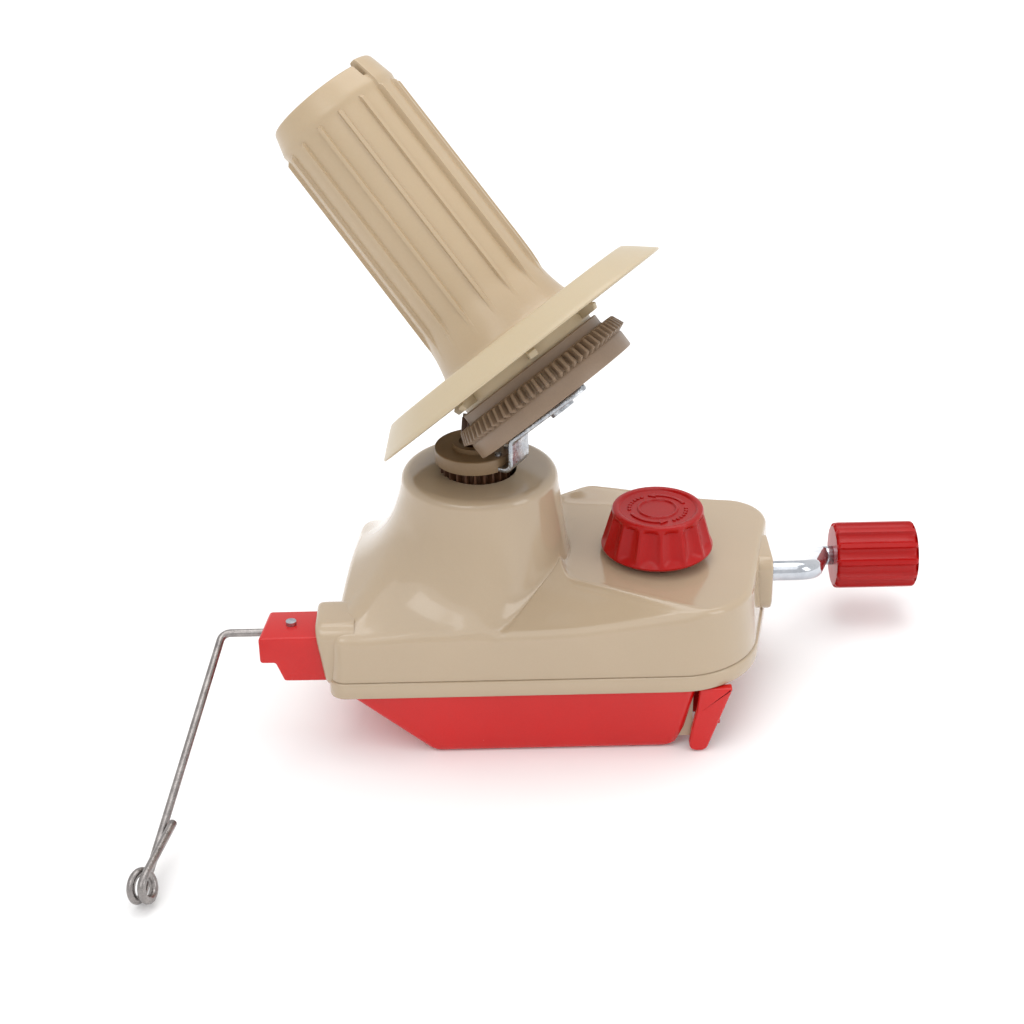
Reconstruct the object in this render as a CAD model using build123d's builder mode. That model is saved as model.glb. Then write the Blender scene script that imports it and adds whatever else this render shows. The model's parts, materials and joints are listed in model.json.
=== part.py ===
from build123d import *
import os
from math import atan2, cos, degrees, hypot, radians, sin, tan

# Hand-cranked yarn ball winder that clamps to the edge of a table.
# Millimetres. +Z is up, +X points to the crank end, -X to the yarn guide end.
# The tower's vertical axis is the Z axis. Z = 0 is the flat underside of the
# clamp jaw, on which the closed winder stands.

os.makedirs("parts", exist_ok=True)

# ---------------------------------------------------------------- levels
SKIRT_Z = 27.0                 # underside of the casing, the upper clamp face
LIP_Z = 33.0                   # top of the lip that runs round the skirt
WALL_TOP_Z = 50.5              # where the upright walls turn into the shoulder
TOWER_Z = 94.0                 # flat top of the tower
DISC_Z = 98.0                  # underside of the revolving disc
WALL = 2.2                     # casing wall

# ---------------------------------------------------------------- casing plan
CASE_HALF = 45.5               # half depth at the lip
# Both ends are slanted, so the casing is longer on its far side: X of each end at Y = 0, and its slope
CASE_LEFT, LEFT_SLANT = -49.0, 0.077
CASE_RIGHT, RIGHT_SLANT = 104.9, 0.2175
CORNER_RS = (5.0, 30.0, 15.0, 10.0)        # near left, near right, far right, far left
WALL_DRAFT = 1.5               # inward lean of the walls over their height
TOWER_X = 1.5                  # the tower's round top is a little off the axis
TOWER_R = 28.0
TOWER_HOLE_R = 13.3
DECK_X, DECK_DEPTH_Z = 30.0, 60.9
DECK_SLOPE = 0.078             # fall of the deck per mm towards the crank
DECK_START = 12.0              # the deck's block begins inside the tower

# ---------------------------------------------------------------- gear train
DRIVE_AXIS_Z = 61.0            # horizontal axis of the big drive gear, at Y = 0
CRANK_Y, CRANK_Z = 9.0, 43.7   # axis of the crank shaft
CRANK_TEETH, SPUR_TEETH = 24, 15
SPUR_MODULE = hypot(CRANK_Y, DRIVE_AXIS_Z - CRANK_Z) * 2 / (CRANK_TEETH + SPUR_TEETH)
DRIVE_TEETH, CARRIER_TEETH = 60, 24
CARRIER_PITCH_R = 11.76
DRIVE_PITCH_R = CARRIER_PITCH_R * DRIVE_TEETH / CARRIER_TEETH
DRIVE_FACE = 0.83              # small end of the bevel teeth, as a share of the big end
DRIVE_RISE, DRIVE_FALL = 1.5, 2.1           # tooth tip and root, degrees seen from the apex
ROD_R = 3.75                   # crank shaft
SPUR_X, SPUR_WIDTH = 17.0, 5.0
BRACKET_X, BRACKET_THICK = 23.5, 3.0
POST_LOW_R, POST_R, POST_TIP_R = 4.0, 3.0, 1.5
AXLE_R = 3.0

# ---------------------------------------------------------------- winding head
TILT = 43.0                    # cone axis from the vertical
LEAN = 151.0                   # direction in which the cone leans, from +X
CONE_TEETH, PINION_TEETH = 72, 8
CONE_PITCH_R = 33.0
MESH_Z = 109.5
CONE_FACE = 0.895
DISC_R, DISC_RIM, BOSS_R, BOSS_H = 14.25, 5.0, 8.0, 1.8
TRAY_R, TRAY_FLAT_R, TRAY_H, TRAY_WALL = 58.8, 49.5, 8.0, 1.4
CONE_LENGTH = 100.7            # from the tray's flat to the rim
CONE_RIM_R, CONE_BAND_R, CONE_RIB_R, CONE_FOOT_R = 20.3, 22.7, 23.9, 25.6
CONE_BAND = 10.4
CONE_RIBS = 16
CONE_WALL = 2.0
BRACKET_STRIP, STRIP_THICK = 12.5, 1.8

# ---------------------------------------------------------------- crank, knob, guide, jaw
ARM_X, HANDLE_X, HANDLE_LENGTH = 124.5, 140.0, 32.0
HANDLE_Y, HANDLE_Z, HANDLE_R = 50.0, 26.4, 13.2
HANDLE_FLUTES = 12
KNOB_X, KNOB_Y = 65.3, -1.5
KNOB_Z, KNOB_TOP_Z, KNOB_R, KNOB_TOP_R = 60.4, 77.6, 20.2, 16.1
KNOB_FLUTES = 14
SCREW_R = 3.0
GUIDE_Y, GUIDE_Z = -31.0, 46.2
HOLDER_DEPTH, HOLDER_HEIGHT, HOLDER_DROP = 18.4, 18.0, 5.9    # the holder's middle is below the wire
BOSS_X, PANEL_X = -57.0, 108.4  # faces of the guide's socket boss and of the crank's panel
WIRE_R = 1.4
BEND_X = -90.5
EYE_X, EYE_Y, EYE_Z = -111.5, -120.5, 6.8
EYE_R = 4.8                    # middle of the wire round the eyelet
EYE_PITCH = 4.3                # from one of the eyelet's turns to the next
WIRE_BEND = 3.6
TAIL = 25.0                    # free end that runs back along the arm
JAW_TOP = 26.7
JAW_WALL = 2.6
FIT = 0.05                     # radial clearance of every running fit
GAP = 0.35                     # clearance between pieces that only pass each other

nodes = {}


def keep(part, name):
    """Labels a finished piece and remembers it for export."""
    part.label = name
    nodes[name] = part


def tooth_ring(teeth, tip_r, root_r, tip_share, root_share, phase=0.0):
    """Corner points of a straight-sided gear outline; shares are of the angular pitch."""
    step = 360 / teeth
    points = []
    for tooth in range(teeth):
        middle = phase + tooth * step
        corners = ((root_r, -root_share), (tip_r, -tip_share), (tip_r, tip_share), (root_r, root_share))
        for radius, share in corners:
            angle = radians(middle + share * step / 2)
            points.append((radius * cos(angle), radius * sin(angle)))
    return points


def bevel_radii(apex_distance, pitch_r, rise, fall):
    """Tip and root radius, in the plane of the big end, of teeth given as angles at the apex."""
    cone = degrees(atan2(pitch_r, apex_distance))
    return apex_distance * tan(radians(cone + rise)), apex_distance * tan(radians(cone - fall))


def shifted(plane, distance):
    """The same plane moved along its own normal."""
    return Plane(origin=plane.origin + plane.z_dir * distance, x_dir=plane.x_dir, z_dir=plane.z_dir)


def plan_sketch(plane, inset):
    """A closed sketch of the casing's plan outline, moved in by inset, on the given plane."""
    corners = []
    for x0, slant, y in ((CASE_LEFT, LEFT_SLANT, -CASE_HALF), (CASE_RIGHT, RIGHT_SLANT, -CASE_HALF),
                         (CASE_RIGHT, RIGHT_SLANT, CASE_HALF), (CASE_LEFT, LEFT_SLANT, CASE_HALF)):
        corners.append((x0 + slant * y, y))
    with BuildSketch(plane) as plan:
        with BuildLine():
            FilletPolyline(*corners, radius=CORNER_RS, close=True)
        make_face()
        offset(amount=-inset)
    return plan.sketch


def deck_plane(drop=0.0):
    """The sloping deck that carries the knob, lowered by drop."""
    normal = Vector(DECK_SLOPE, 0, 1).normalized()
    return Plane(origin=(DECK_X, 0, DECK_DEPTH_Z - drop), x_dir=(1, 0, -DECK_SLOPE), z_dir=normal)


# Slopes between the deck and the walls: two points on the slope's upper line and one at the wall's top
NEAR_SLOPE = ((29.6, -24.0, 60.9), (85.0, -43.9, 56.6), (29.6, -44.1, WALL_TOP_Z))
FAR_SLOPE = ((0.0, 35.5, 63.2), (38.0, 44.2, 60.3), (0.0, 43.9, WALL_TOP_Z))


def slope_plane(points, drop=0.0):
    """The plane of a slope, lowered by drop."""
    foot, corner, wall = (Vector(*point) for point in points)
    normal = (wall - foot).cross(corner - foot).normalized()
    normal = normal if normal.Z > 0 else -normal
    return Plane(origin=foot - normal * drop, x_dir=(corner - foot).normalized(), z_dir=normal)


def casing_form(inset):
    """Outer form of the casing, or with an inset the hollow inside it."""
    top = WALL_TOP_Z - inset * 0.4
    with BuildPart() as hump:
        # the shoulder and the tower
        sections = (
            # level, left, right, half depth, corner radius
            (top - 0.5, -50.8, 34.0, 44.0, 12.0),
            (56.0, -45.6, 34.4, 39.6, 17.0),
            (62.0, -40.4, 34.4, 36.0, 22.0),
            (68.0, -36.0, 34.0, 33.6, 25.0),
            (74.0, -32.8, 33.4, 32.0, 27.0),
            (80.0, -30.4, 32.6, 30.6, 27.6),
            (87.0, -28.0, 31.0, 29.0, 27.6),
            (TOWER_Z - inset, -26.5, 29.5, 28.0, 27.0),
        )
        for level, left, right, half, corner in sections:
            width, depth = right - left - 2 * inset, 2 * (half - inset)
            radius = min(corner, min(width, depth) / 2 - 1.0)
            with BuildSketch(Plane(origin=((left + right) / 2, 0, level))):
                RectangleRounded(width, depth, radius)
        loft(ruled=True)
        extrude(plan_sketch(Plane.XY.offset(top - 5), inset + WALL_DRAFT), amount=60, mode=Mode.INTERSECT)
    with BuildPart() as form:
        # upright walls
        loft([plan_sketch(Plane.XY.offset(SKIRT_Z - (1 if inset else 0)), inset),
              plan_sketch(Plane.XY.offset(top), inset + WALL_DRAFT)], ruled=True)
        # the part under the deck, cut to the deck and to the slopes along its edges
        extrude(plan_sketch(Plane.XY.offset(top - 1), inset + WALL_DRAFT), amount=22)
        with BuildSketch(Plane.XY.offset(top)):
            with Locations((DECK_START - 60, 0)):
                Rectangle(120, 120)
        extrude(amount=30, mode=Mode.SUBTRACT)
        for cut in (deck_plane(inset), slope_plane(NEAR_SLOPE, inset), slope_plane(FAR_SLOPE, inset)):
            with BuildSketch(cut):
                Rectangle(400, 400)
            extrude(amount=60, mode=Mode.SUBTRACT)
        add(hump.part)
    return form.part


# ================================================================ casing
pillars = ((-39, 36), (-43, -36), (94, 33), (84, -27))
PILLAR_R, PILOT_R = 3.6, 1.45  # screw pillars and their pilot holes
with BuildPart() as pillar_posts:
    with BuildSketch(Plane.XY.offset(SKIRT_Z + 3.2)):
        with Locations(*pillars):
            Circle(PILLAR_R)
    extrude(amount=40)
    add(casing_form(0.6), mode=Mode.INTERSECT)

with BuildPart() as upper_casing:
    add(casing_form(0.0))
    # rounding of the tower's rim
    with BuildSketch(Plane.XZ):
        with BuildLine():
            Line((TOWER_X + TOWER_R - 3.6, TOWER_Z), (TOWER_X + TOWER_R + 6, TOWER_Z))
            Line((TOWER_X + TOWER_R + 6, TOWER_Z), (TOWER_X + TOWER_R + 6, TOWER_Z - 5))
            Line((TOWER_X + TOWER_R + 6, TOWER_Z - 5), (TOWER_X + TOWER_R + 0.8, TOWER_Z - 5))
            RadiusArc((TOWER_X + TOWER_R + 0.8, TOWER_Z - 5), (TOWER_X + TOWER_R - 3.6, TOWER_Z), -4.7)
        make_face()
    revolve(axis=Axis((TOWER_X, 0, 0), (0, 0, 1)), mode=Mode.SUBTRACT)
    # lip round the skirt
    loft([plan_sketch(Plane.XY.offset(SKIRT_Z), -0.8), plan_sketch(Plane.XY.offset(LIP_Z), -0.5)], ruled=True)
    # socket boss for the guide holder on the left end, at the near side
    with BuildSketch(Plane.YZ.offset(BOSS_X)):
        with Locations((GUIDE_Y, (SKIRT_Z + 53.5) / 2)):
            RectangleRounded(23.4, 53.5 - SKIRT_Z, 4)
    extrude(amount=12)
    # raised panel round the crank shaft
    with BuildSketch(Plane.YZ.offset(PANEL_X - 7)):
        with Locations((CRANK_Y, CRANK_Z)):
            RectangleRounded(24, 22, 5)
    extrude(amount=7)
    add(casing_form(WALL), mode=Mode.SUBTRACT)
    # screw pillars that reach down to the base plate
    add(pillar_posts.part)
    with BuildSketch(Plane.XY.offset(SKIRT_Z + 2)):
        with Locations(*pillars):
            Circle(PILOT_R)
    extrude(amount=14, mode=Mode.SUBTRACT)
    # tower opening, knob hole, crank hole, guide socket and its screw hole
    with Locations((0, 0, TOWER_Z)):
        Cylinder(TOWER_HOLE_R, 12, mode=Mode.SUBTRACT)
    with Locations((KNOB_X, KNOB_Y, 57)):
        Cylinder(SCREW_R + 1.3, 20, mode=Mode.SUBTRACT)
    with BuildSketch(Plane.YZ.offset(PANEL_X - 20)):
        with Locations((CRANK_Y, CRANK_Z)):
            Circle(6.0)
    extrude(amount=24, mode=Mode.SUBTRACT)
    with BuildSketch(Plane.YZ.offset(BOSS_X - 2)):
        with Locations((GUIDE_Y, GUIDE_Z - HOLDER_DROP)):
            RectangleRounded(HOLDER_DEPTH + 0.6, HOLDER_HEIGHT + 0.6, 1.5)
    extrude(amount=14, mode=Mode.SUBTRACT)

# ================================================================ base plate
PLATE_TOP = SKIRT_Z + 2.6
GUIDE_FINS = (-38.6, 38.6)                 # Y of the two fins on which the jaw slides
FIN_X, FIN_LENGTH, FIN_THICK = 73.0, 6.0, 3.0
COLUMN_X, COLUMN_Y = 8.0, 6.0              # half sizes of the jaw's nut column
COLUMN_MID_Y = -2.0
bracket_holes = ((29.5, -9), (29.5, 9))
HEAD_R, HEAD_H, SHANK_R = 3.0, 1.3, 1.4    # self-tapping screws
SCREW_Z = SKIRT_Z + 0.3

with BuildPart() as base_plate:
    extrude(plan_sketch(Plane.XY.offset(SKIRT_Z + 0.2), WALL + 0.35), amount=2.4)
    # boss for the centre post
    with BuildSketch(Plane.XY.offset(SKIRT_Z + 0.2)):
        Circle(7.0)
    extrude(amount=1.9 + 2.4)
    with Locations((0, 0, SKIRT_Z + 3)):
        Cylinder(POST_LOW_R - 1.0, 20, mode=Mode.SUBTRACT)
    # foot pad of the crank bush, beside the end wall
    with BuildSketch(Plane.XY.offset(PLATE_TOP)):
        with Locations((93.0, CRANK_Y)):
            Rectangle(7.0, 14.0)
    extrude(amount=CRANK_Z - PLATE_TOP - 8.2)
    # opening for the nut column
    with Locations((KNOB_X, COLUMN_MID_Y, SKIRT_Z)):
        Box(2 * (COLUMN_X + GAP), 2 * (COLUMN_Y + GAP), 20, mode=Mode.SUBTRACT)
    # fins that guide the jaw
    for fin_y in GUIDE_FINS:
        with BuildSketch(Plane.XY.offset(SKIRT_Z + 1.0)):
            with Locations((FIN_X, fin_y)):
                Rectangle(FIN_LENGTH, FIN_THICK)
        extrude(amount=-(SKIRT_Z + 1.0 - 4.5), taper=0.4)
    # screw holes
    with BuildSketch(Plane.XY.offset(SKIRT_Z)):
        with Locations(*pillars):
            Circle(1.75)
        with Locations(*bracket_holes):
            Circle(1.75)
    extrude(amount=8, mode=Mode.SUBTRACT)
    with BuildSketch(Plane.XY.offset(SKIRT_Z)):
        with Locations(*pillars, *bracket_holes):
            Circle(HEAD_R + 0.4)
    extrude(amount=HEAD_H + 0.3, mode=Mode.SUBTRACT)


def screw_set(places, length):
    """A group of pan-head screws under the base plate that point up."""
    with BuildPart() as screws:
        with BuildSketch(Plane.XY.offset(SCREW_Z)):
            with Locations(*places):
                Circle(HEAD_R)
        extrude(amount=HEAD_H)
        with BuildSketch(Plane.XY.offset(SCREW_Z)):
            with Locations(*places):
                Circle(SHANK_R)
        extrude(amount=length)
        # cross recess
        with BuildSketch(Plane.XY.offset(SCREW_Z)):
            for place in places:
                with Locations(place):
                    Rectangle(1.4 * HEAD_R, 0.7)
                    Rectangle(0.7, 1.4 * HEAD_R)
        extrude(amount=HEAD_H / 2, mode=Mode.SUBTRACT)
    return screws.part


keep(upper_casing.part, "upper_casing")
keep(base_plate.part, "base_plate")
keep(screw_set(pillars, 13.0), "casing_screws")

# ================================================================ gear bracket and its screws
with BuildPart() as gear_bracket:
    with BuildSketch(Plane.YZ.offset(BRACKET_X)):
        with BuildLine():
            Polyline((-14, PLATE_TOP), (17, PLATE_TOP), (17, 50), (8, 68.0),
                     (-8, 68.0), (-14, 50), (-14, PLATE_TOP))
        make_face()
        with Locations((0, DRIVE_AXIS_Z)):
            Circle(AXLE_R, mode=Mode.SUBTRACT)
        with Locations((CRANK_Y, CRANK_Z)):
            Circle(ROD_R + FIT, mode=Mode.SUBTRACT)
    extrude(amount=BRACKET_THICK)
    with BuildSketch(Plane.XY.offset(PLATE_TOP)):
        with Locations((29.5, 1.5)):
            Rectangle(12.0, 31.0)
    extrude(amount=2.6)
    with BuildSketch(Plane.XY.offset(PLATE_TOP - 1)):
        with Locations(*bracket_holes):
            Circle(PILOT_R)
    extrude(amount=6, mode=Mode.SUBTRACT)
keep(gear_bracket.part, "gear_bracket")
keep(screw_set(bracket_holes, 4.7), "bracket_screws")

# ================================================================ drive axle and drive gear
with BuildPart() as drive_axle:
    with BuildSketch(Plane.YZ.offset(7.2)):
        with Locations((0, DRIVE_AXIS_Z)):
            Circle(AXLE_R)
    extrude(amount=BRACKET_X + BRACKET_THICK - 7.2)
    with BuildSketch(Plane.YZ.offset(BRACKET_X + BRACKET_THICK)):
        with Locations((0, DRIVE_AXIS_Z)):
            Circle(AXLE_R + 1.6)
    extrude(amount=1.0)
    with BuildSketch(Plane.YZ.offset(7.2)):
        with Locations((0, DRIVE_AXIS_Z)):
            Circle(AXLE_R + 1.4)
    extrude(amount=0.9)
keep(drive_axle.part, "drive_axle")

DRIVE_PLANE = Plane(origin=(CARRIER_PITCH_R, 0, DRIVE_AXIS_Z), x_dir=(0, 0, 1), z_dir=(1, 0, 0))
drive_tip, drive_root = bevel_radii(CARRIER_PITCH_R, DRIVE_PITCH_R, DRIVE_RISE, DRIVE_FALL)


def bevel_blank(plane, apex_distance, tip_r, root_r, teeth, tip_share, root_share, face, phase):
    """Tooth body of a bevel gear: its outline lofted towards the apex."""
    with BuildPart() as blank:
        with BuildSketch(plane):
            Polygon(*tooth_ring(teeth, tip_r, root_r, tip_share, root_share, phase), align=None)
        with BuildSketch(shifted(plane, -apex_distance * (1 - face))):
            Polygon(*tooth_ring(teeth, tip_r * face, root_r * face, tip_share, root_share, phase), align=None)
        loft(ruled=True)
    return blank.part


with BuildPart() as drive_gear:
    add(bevel_blank(DRIVE_PLANE, CARRIER_PITCH_R, drive_tip, drive_root,
                    DRIVE_TEETH, 0.22, 0.6, DRIVE_FACE, 3.0))
    # the teeth end on a cone at right angles to them
    with BuildSketch(Plane.XZ) as trim:
        with BuildLine():
            Polyline((4, DRIVE_AXIS_Z), (4, DRIVE_AXIS_Z + 32.5), (DRIVE_FACE * CARRIER_PITCH_R - 1.6,
                     DRIVE_AXIS_Z + 31.0), (CARRIER_PITCH_R + 0.6, DRIVE_AXIS_Z + 29.2),
                     (CARRIER_PITCH_R + 2, DRIVE_AXIS_Z + 28.6), (CARRIER_PITCH_R + 2, DRIVE_AXIS_Z),
                     (4, DRIVE_AXIS_Z))
        make_face()
    revolve(axis=Axis((0, 0, DRIVE_AXIS_Z), (1, 0, 0)), mode=Mode.INTERSECT)
    # hollow front of the ring
    with BuildSketch(Plane.YZ.offset(6)):
        with Locations((0, DRIVE_AXIS_Z)):
            Circle(DRIVE_FACE * drive_root - 1.5)
    extrude(amount=CARRIER_PITCH_R - 6 - 1.6, mode=Mode.SUBTRACT)
    # back plate, hub and spur gear
    with BuildSketch(Plane.YZ.offset(CARRIER_PITCH_R - 0.1)):
        with Locations((0, DRIVE_AXIS_Z)):
            Circle(drive_root - 0.4)
    extrude(amount=2.3)
    with BuildSketch(Plane.YZ.offset(8.4)):
        with Locations((0, DRIVE_AXIS_Z)):
            Circle(6.0)
    extrude(amount=SPUR_X - 8.4)
    spur_plane = Plane(origin=(SPUR_X, 0, DRIVE_AXIS_Z), x_dir=(0, CRANK_Y, CRANK_Z - DRIVE_AXIS_Z),
                       z_dir=(1, 0, 0))
    with BuildSketch(spur_plane):
        spur_pitch = SPUR_MODULE * SPUR_TEETH / 2
        Polygon(*tooth_ring(SPUR_TEETH, spur_pitch + 0.85 * SPUR_MODULE, spur_pitch - 1.15 * SPUR_MODULE,
                            0.2, 0.62), align=None)
    extrude(amount=SPUR_WIDTH)
    with BuildSketch(Plane.YZ.offset(4)):
        with Locations((0, DRIVE_AXIS_Z)):
            Circle(AXLE_R + FIT)
    extrude(amount=24, mode=Mode.SUBTRACT)
    # lightening holes in the web
    with BuildSketch(Plane.YZ.offset(4)):
        with Locations((0, DRIVE_AXIS_Z)):
            with PolarLocations(15.5, 6, start_angle=15):
                Circle(4.2)
    extrude(amount=24, mode=Mode.SUBTRACT)
keep(drive_gear.part, "drive_gear")

# ================================================================ crank
with BuildPart() as crank_gear:
    crank_plane = Plane(origin=(SPUR_X, CRANK_Y, CRANK_Z),
                        x_dir=(0, -CRANK_Y, DRIVE_AXIS_Z - CRANK_Z), z_dir=(1, 0, 0))
    with BuildSketch(crank_plane):
        crank_pitch = SPUR_MODULE * CRANK_TEETH / 2
        Polygon(*tooth_ring(CRANK_TEETH, crank_pitch + 0.85 * SPUR_MODULE, crank_pitch - 1.15 * SPUR_MODULE,
                            0.2, 0.62, 180 / CRANK_TEETH), align=None)
    extrude(amount=SPUR_WIDTH)
    with BuildSketch(crank_plane):
        Circle(ROD_R)
    extrude(amount=SPUR_WIDTH, mode=Mode.SUBTRACT)
keep(crank_gear.part, "crank_gear")

with BuildPart() as crank_rod:
    with BuildLine() as rod_path:
        FilletPolyline((SPUR_X - 2.2, CRANK_Y, CRANK_Z), (ARM_X, CRANK_Y, CRANK_Z),
                       (HANDLE_X - 5.0, HANDLE_Y, HANDLE_Z),
                       (HANDLE_X + HANDLE_LENGTH + 2.6, HANDLE_Y, HANDLE_Z), radius=8.5)
    with BuildSketch(Plane.YZ.offset(SPUR_X - 2.2)):
        with Locations((CRANK_Y, CRANK_Z)):
            Circle(ROD_R)
    sweep(path=rod_path.line)
    # the handle's end of the rod is turned down
    with BuildSketch(Plane.YZ.offset(HANDLE_X - 0.2)):
        with Locations((HANDLE_Y, HANDLE_Z)):
            Circle(ROD_R + 2)
            Circle(ROD_R - 0.5, mode=Mode.SUBTRACT)
    extrude(amount=60, mode=Mode.SUBTRACT)
keep(crank_rod.part, "crank_rod")

BUSH_X = PANEL_X - 9.4         # inner face of the bush's flange, inside the end wall
with BuildPart() as crank_bush:
    with BuildSketch(Plane.YZ.offset(BUSH_X)):
        with Locations((CRANK_Y, CRANK_Z)):
            Circle(8.0)
    extrude(amount=2.0)
    with BuildSketch(Plane.YZ.offset(BUSH_X)):
        with Locations((CRANK_Y, CRANK_Z)):
            Circle(5.9)
    extrude(amount=PANEL_X + 0.2 - BUSH_X)
    with BuildSketch(Plane.YZ.offset(BUSH_X - 8)):
        with Locations((CRANK_Y, CRANK_Z)):
            Circle(ROD_R + FIT)
    extrude(amount=24, mode=Mode.SUBTRACT)
keep(crank_bush.part, "crank_bush")


def ring_piece(plane, inner_r, outer_r, thickness, gap_width=0.0):
    """A washer, or with a gap width a snap ring."""
    with BuildPart() as ring:
        with BuildSketch(plane):
            Circle(outer_r)
            Circle(inner_r, mode=Mode.SUBTRACT)
            if gap_width:
                with Locations((outer_r, 0)):
                    Rectangle(2 * outer_r, gap_width, mode=Mode.SUBTRACT)
        extrude(amount=thickness)
    return ring.part


def crank_axis_plane(x):
    """A plane across the crank shaft at x."""
    return Plane(origin=(x, CRANK_Y, CRANK_Z), x_dir=(0, 0, 1), z_dir=(1, 0, 0))


keep(ring_piece(crank_axis_plane(SPUR_X - 1.3), ROD_R, ROD_R + 2.0, 1.0, 2.5), "shaft_clip")
keep(ring_piece(crank_axis_plane(BUSH_X - 2.2), ROD_R, ROD_R + 2.6, 1.8), "shaft_collar")

HANDLE_PLANE = Plane(origin=(HANDLE_X, HANDLE_Y, HANDLE_Z), x_dir=(0, 0, 1), z_dir=(1, 0, 0))
with BuildPart() as crank_handle:
    with BuildSketch(HANDLE_PLANE):
        Circle(HANDLE_R)
        with PolarLocations(HANDLE_R + 1.3, HANDLE_FLUTES):
            Circle(2.6, mode=Mode.SUBTRACT)
    extrude(amount=HANDLE_LENGTH)
    with BuildSketch(HANDLE_PLANE):
        Circle(ROD_R - 0.5 + FIT)
    extrude(amount=HANDLE_LENGTH, mode=Mode.SUBTRACT)
    with BuildSketch(shifted(HANDLE_PLANE, HANDLE_LENGTH - 1.2)):
        Circle(6.0)
    extrude(amount=2, mode=Mode.SUBTRACT)
keep(crank_handle.part, "crank_handle")
keep(ring_piece(shifted(HANDLE_PLANE, HANDLE_LENGTH - 0.9), ROD_R - 0.5, 5.4, 1.0), "handle_washer")

# ================================================================ centre post and fixed pinion
out_dir = Vector(-cos(radians(LEAN)), -sin(radians(LEAN)), 0)     # away from the cone's lean
PINION_PLANE = Plane(origin=(0, 0, MESH_Z), x_dir=out_dir, z_dir=(0, 0, 1))
PINION_PITCH_R = CONE_PITCH_R * PINION_TEETH / CONE_TEETH
PINION_CONE = degrees(atan2(sin(radians(TILT)), CONE_TEETH / PINION_TEETH + cos(radians(TILT))))
PINION_APEX = PINION_PITCH_R / tan(radians(PINION_CONE))
APEX_Z = MESH_Z + PINION_APEX
POST_SHOULDER_Z = 82.5

with BuildPart() as center_post:
    with BuildSketch(Plane.XZ):
        with BuildLine():
            Polyline((0, SKIRT_Z + 0.4), (POST_LOW_R - 1, SKIRT_Z + 0.4), (POST_LOW_R - 1, SKIRT_Z + 4.5),
                     (POST_LOW_R, SKIRT_Z + 4.5), (POST_LOW_R, POST_SHOULDER_Z), (POST_R, POST_SHOULDER_Z),
                     (POST_R, MESH_Z - 6.0), (POST_TIP_R, MESH_Z - 6.0), (POST_TIP_R, MESH_Z + 3.0),
                     (0, MESH_Z + 3.0), (0, SKIRT_Z + 0.4))
        make_face()
    revolve(axis=Axis.Z)
keep(center_post.part, "center_post")

pin_tip, pin_root = bevel_radii(PINION_APEX, PINION_PITCH_R, 1.1, 1.3)
with BuildPart() as fixed_pinion:
    with BuildSketch(shifted(PINION_PLANE, -1.0)):
        grow = (PINION_APEX + 1.0) / PINION_APEX
        Polygon(*tooth_ring(PINION_TEETH, pin_tip * grow, pin_root * grow, 0.16, 0.5), align=None)
    with BuildSketch(shifted(PINION_PLANE, 5.0)):
        shrink = (PINION_APEX - 5.0) / PINION_APEX
        Polygon(*tooth_ring(PINION_TEETH, pin_tip * shrink, pin_root * shrink, 0.16, 0.5), align=None)
    loft(ruled=True)
    with BuildSketch(shifted(PINION_PLANE, -6.0)):
        Circle(3.4)
    extrude(amount=5.2)
    with BuildSketch(shifted(PINION_PLANE, -7.0)):
        Circle(POST_TIP_R)
    extrude(amount=10.0, mode=Mode.SUBTRACT)
keep(fixed_pinion.part, "fixed_pinion")

# ================================================================ carrier
keep(ring_piece(Plane.XY.offset(POST_SHOULDER_Z), POST_R + FIT, 5.6, 0.8), "thrust_washer")

CARRIER_PLANE = Plane(origin=(0, 0, DRIVE_AXIS_Z + DRIVE_PITCH_R), x_dir=(1, 0, 0), z_dir=(0, 0, 1))
COLLAR_RISE = 0.9
carrier_tip, carrier_root = bevel_radii(DRIVE_PITCH_R, CARRIER_PITCH_R, DRIVE_RISE, DRIVE_FALL)
with BuildPart() as carrier_gear:
    add(bevel_blank(CARRIER_PLANE, DRIVE_PITCH_R, carrier_tip, carrier_root,
                    CARRIER_TEETH, 0.22, 0.6, DRIVE_FACE, 0.0))
    with BuildSketch(CARRIER_PLANE):
        Circle(carrier_root - 0.2)
    extrude(amount=DISC_Z - CARRIER_PLANE.origin.Z)
    # toothed collar that shows above the tower
    with BuildSketch(shifted(CARRIER_PLANE, COLLAR_RISE)):
        Polygon(*tooth_ring(CARRIER_TEETH, carrier_tip, carrier_root, 0.22, 0.6), align=None)
    extrude(amount=DISC_Z - CARRIER_PLANE.origin.Z - COLLAR_RISE)
    with BuildSketch(Plane.XY.offset(POST_SHOULDER_Z + 0.9)):
        Circle(6.2)
    extrude(amount=5)
    with Locations((0, 0, 90)):
        Cylinder(POST_R + FIT, 40, mode=Mode.SUBTRACT)
keep(carrier_gear.part, "carrier_gear")

HEAD_PLANE = Plane(origin=(0, 0, DISC_Z), x_dir=out_dir, z_dir=(0, 0, 1))
FOOT_OUT = 17.6                # distance from the axis to the upright part of the bracket
with BuildPart() as carrier_disc:
    with BuildSketch(HEAD_PLANE):
        Circle(DISC_R)
    extrude(amount=DISC_RIM)
    fillet(carrier_disc.edges().group_by(Axis.Z)[-1], radius=0.6)
    with BuildSketch(shifted(HEAD_PLANE, DISC_RIM)):
        Circle(BOSS_R)
    extrude(amount=BOSS_H)
    with BuildSketch(shifted(HEAD_PLANE, DISC_RIM)):
        Circle(5.6)
    extrude(amount=BOSS_H, mode=Mode.SUBTRACT)
    with Locations((0, 0, DISC_Z)):
        Cylinder(POST_R + FIT, 20, mode=Mode.SUBTRACT)
    # seat for the bracket's foot
    with BuildSketch(HEAD_PLANE):
        with Locations((14.5, 0)):
            Rectangle(11.0, BRACKET_STRIP + 0.1)
    extrude(amount=STRIP_THICK, mode=Mode.SUBTRACT)
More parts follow.
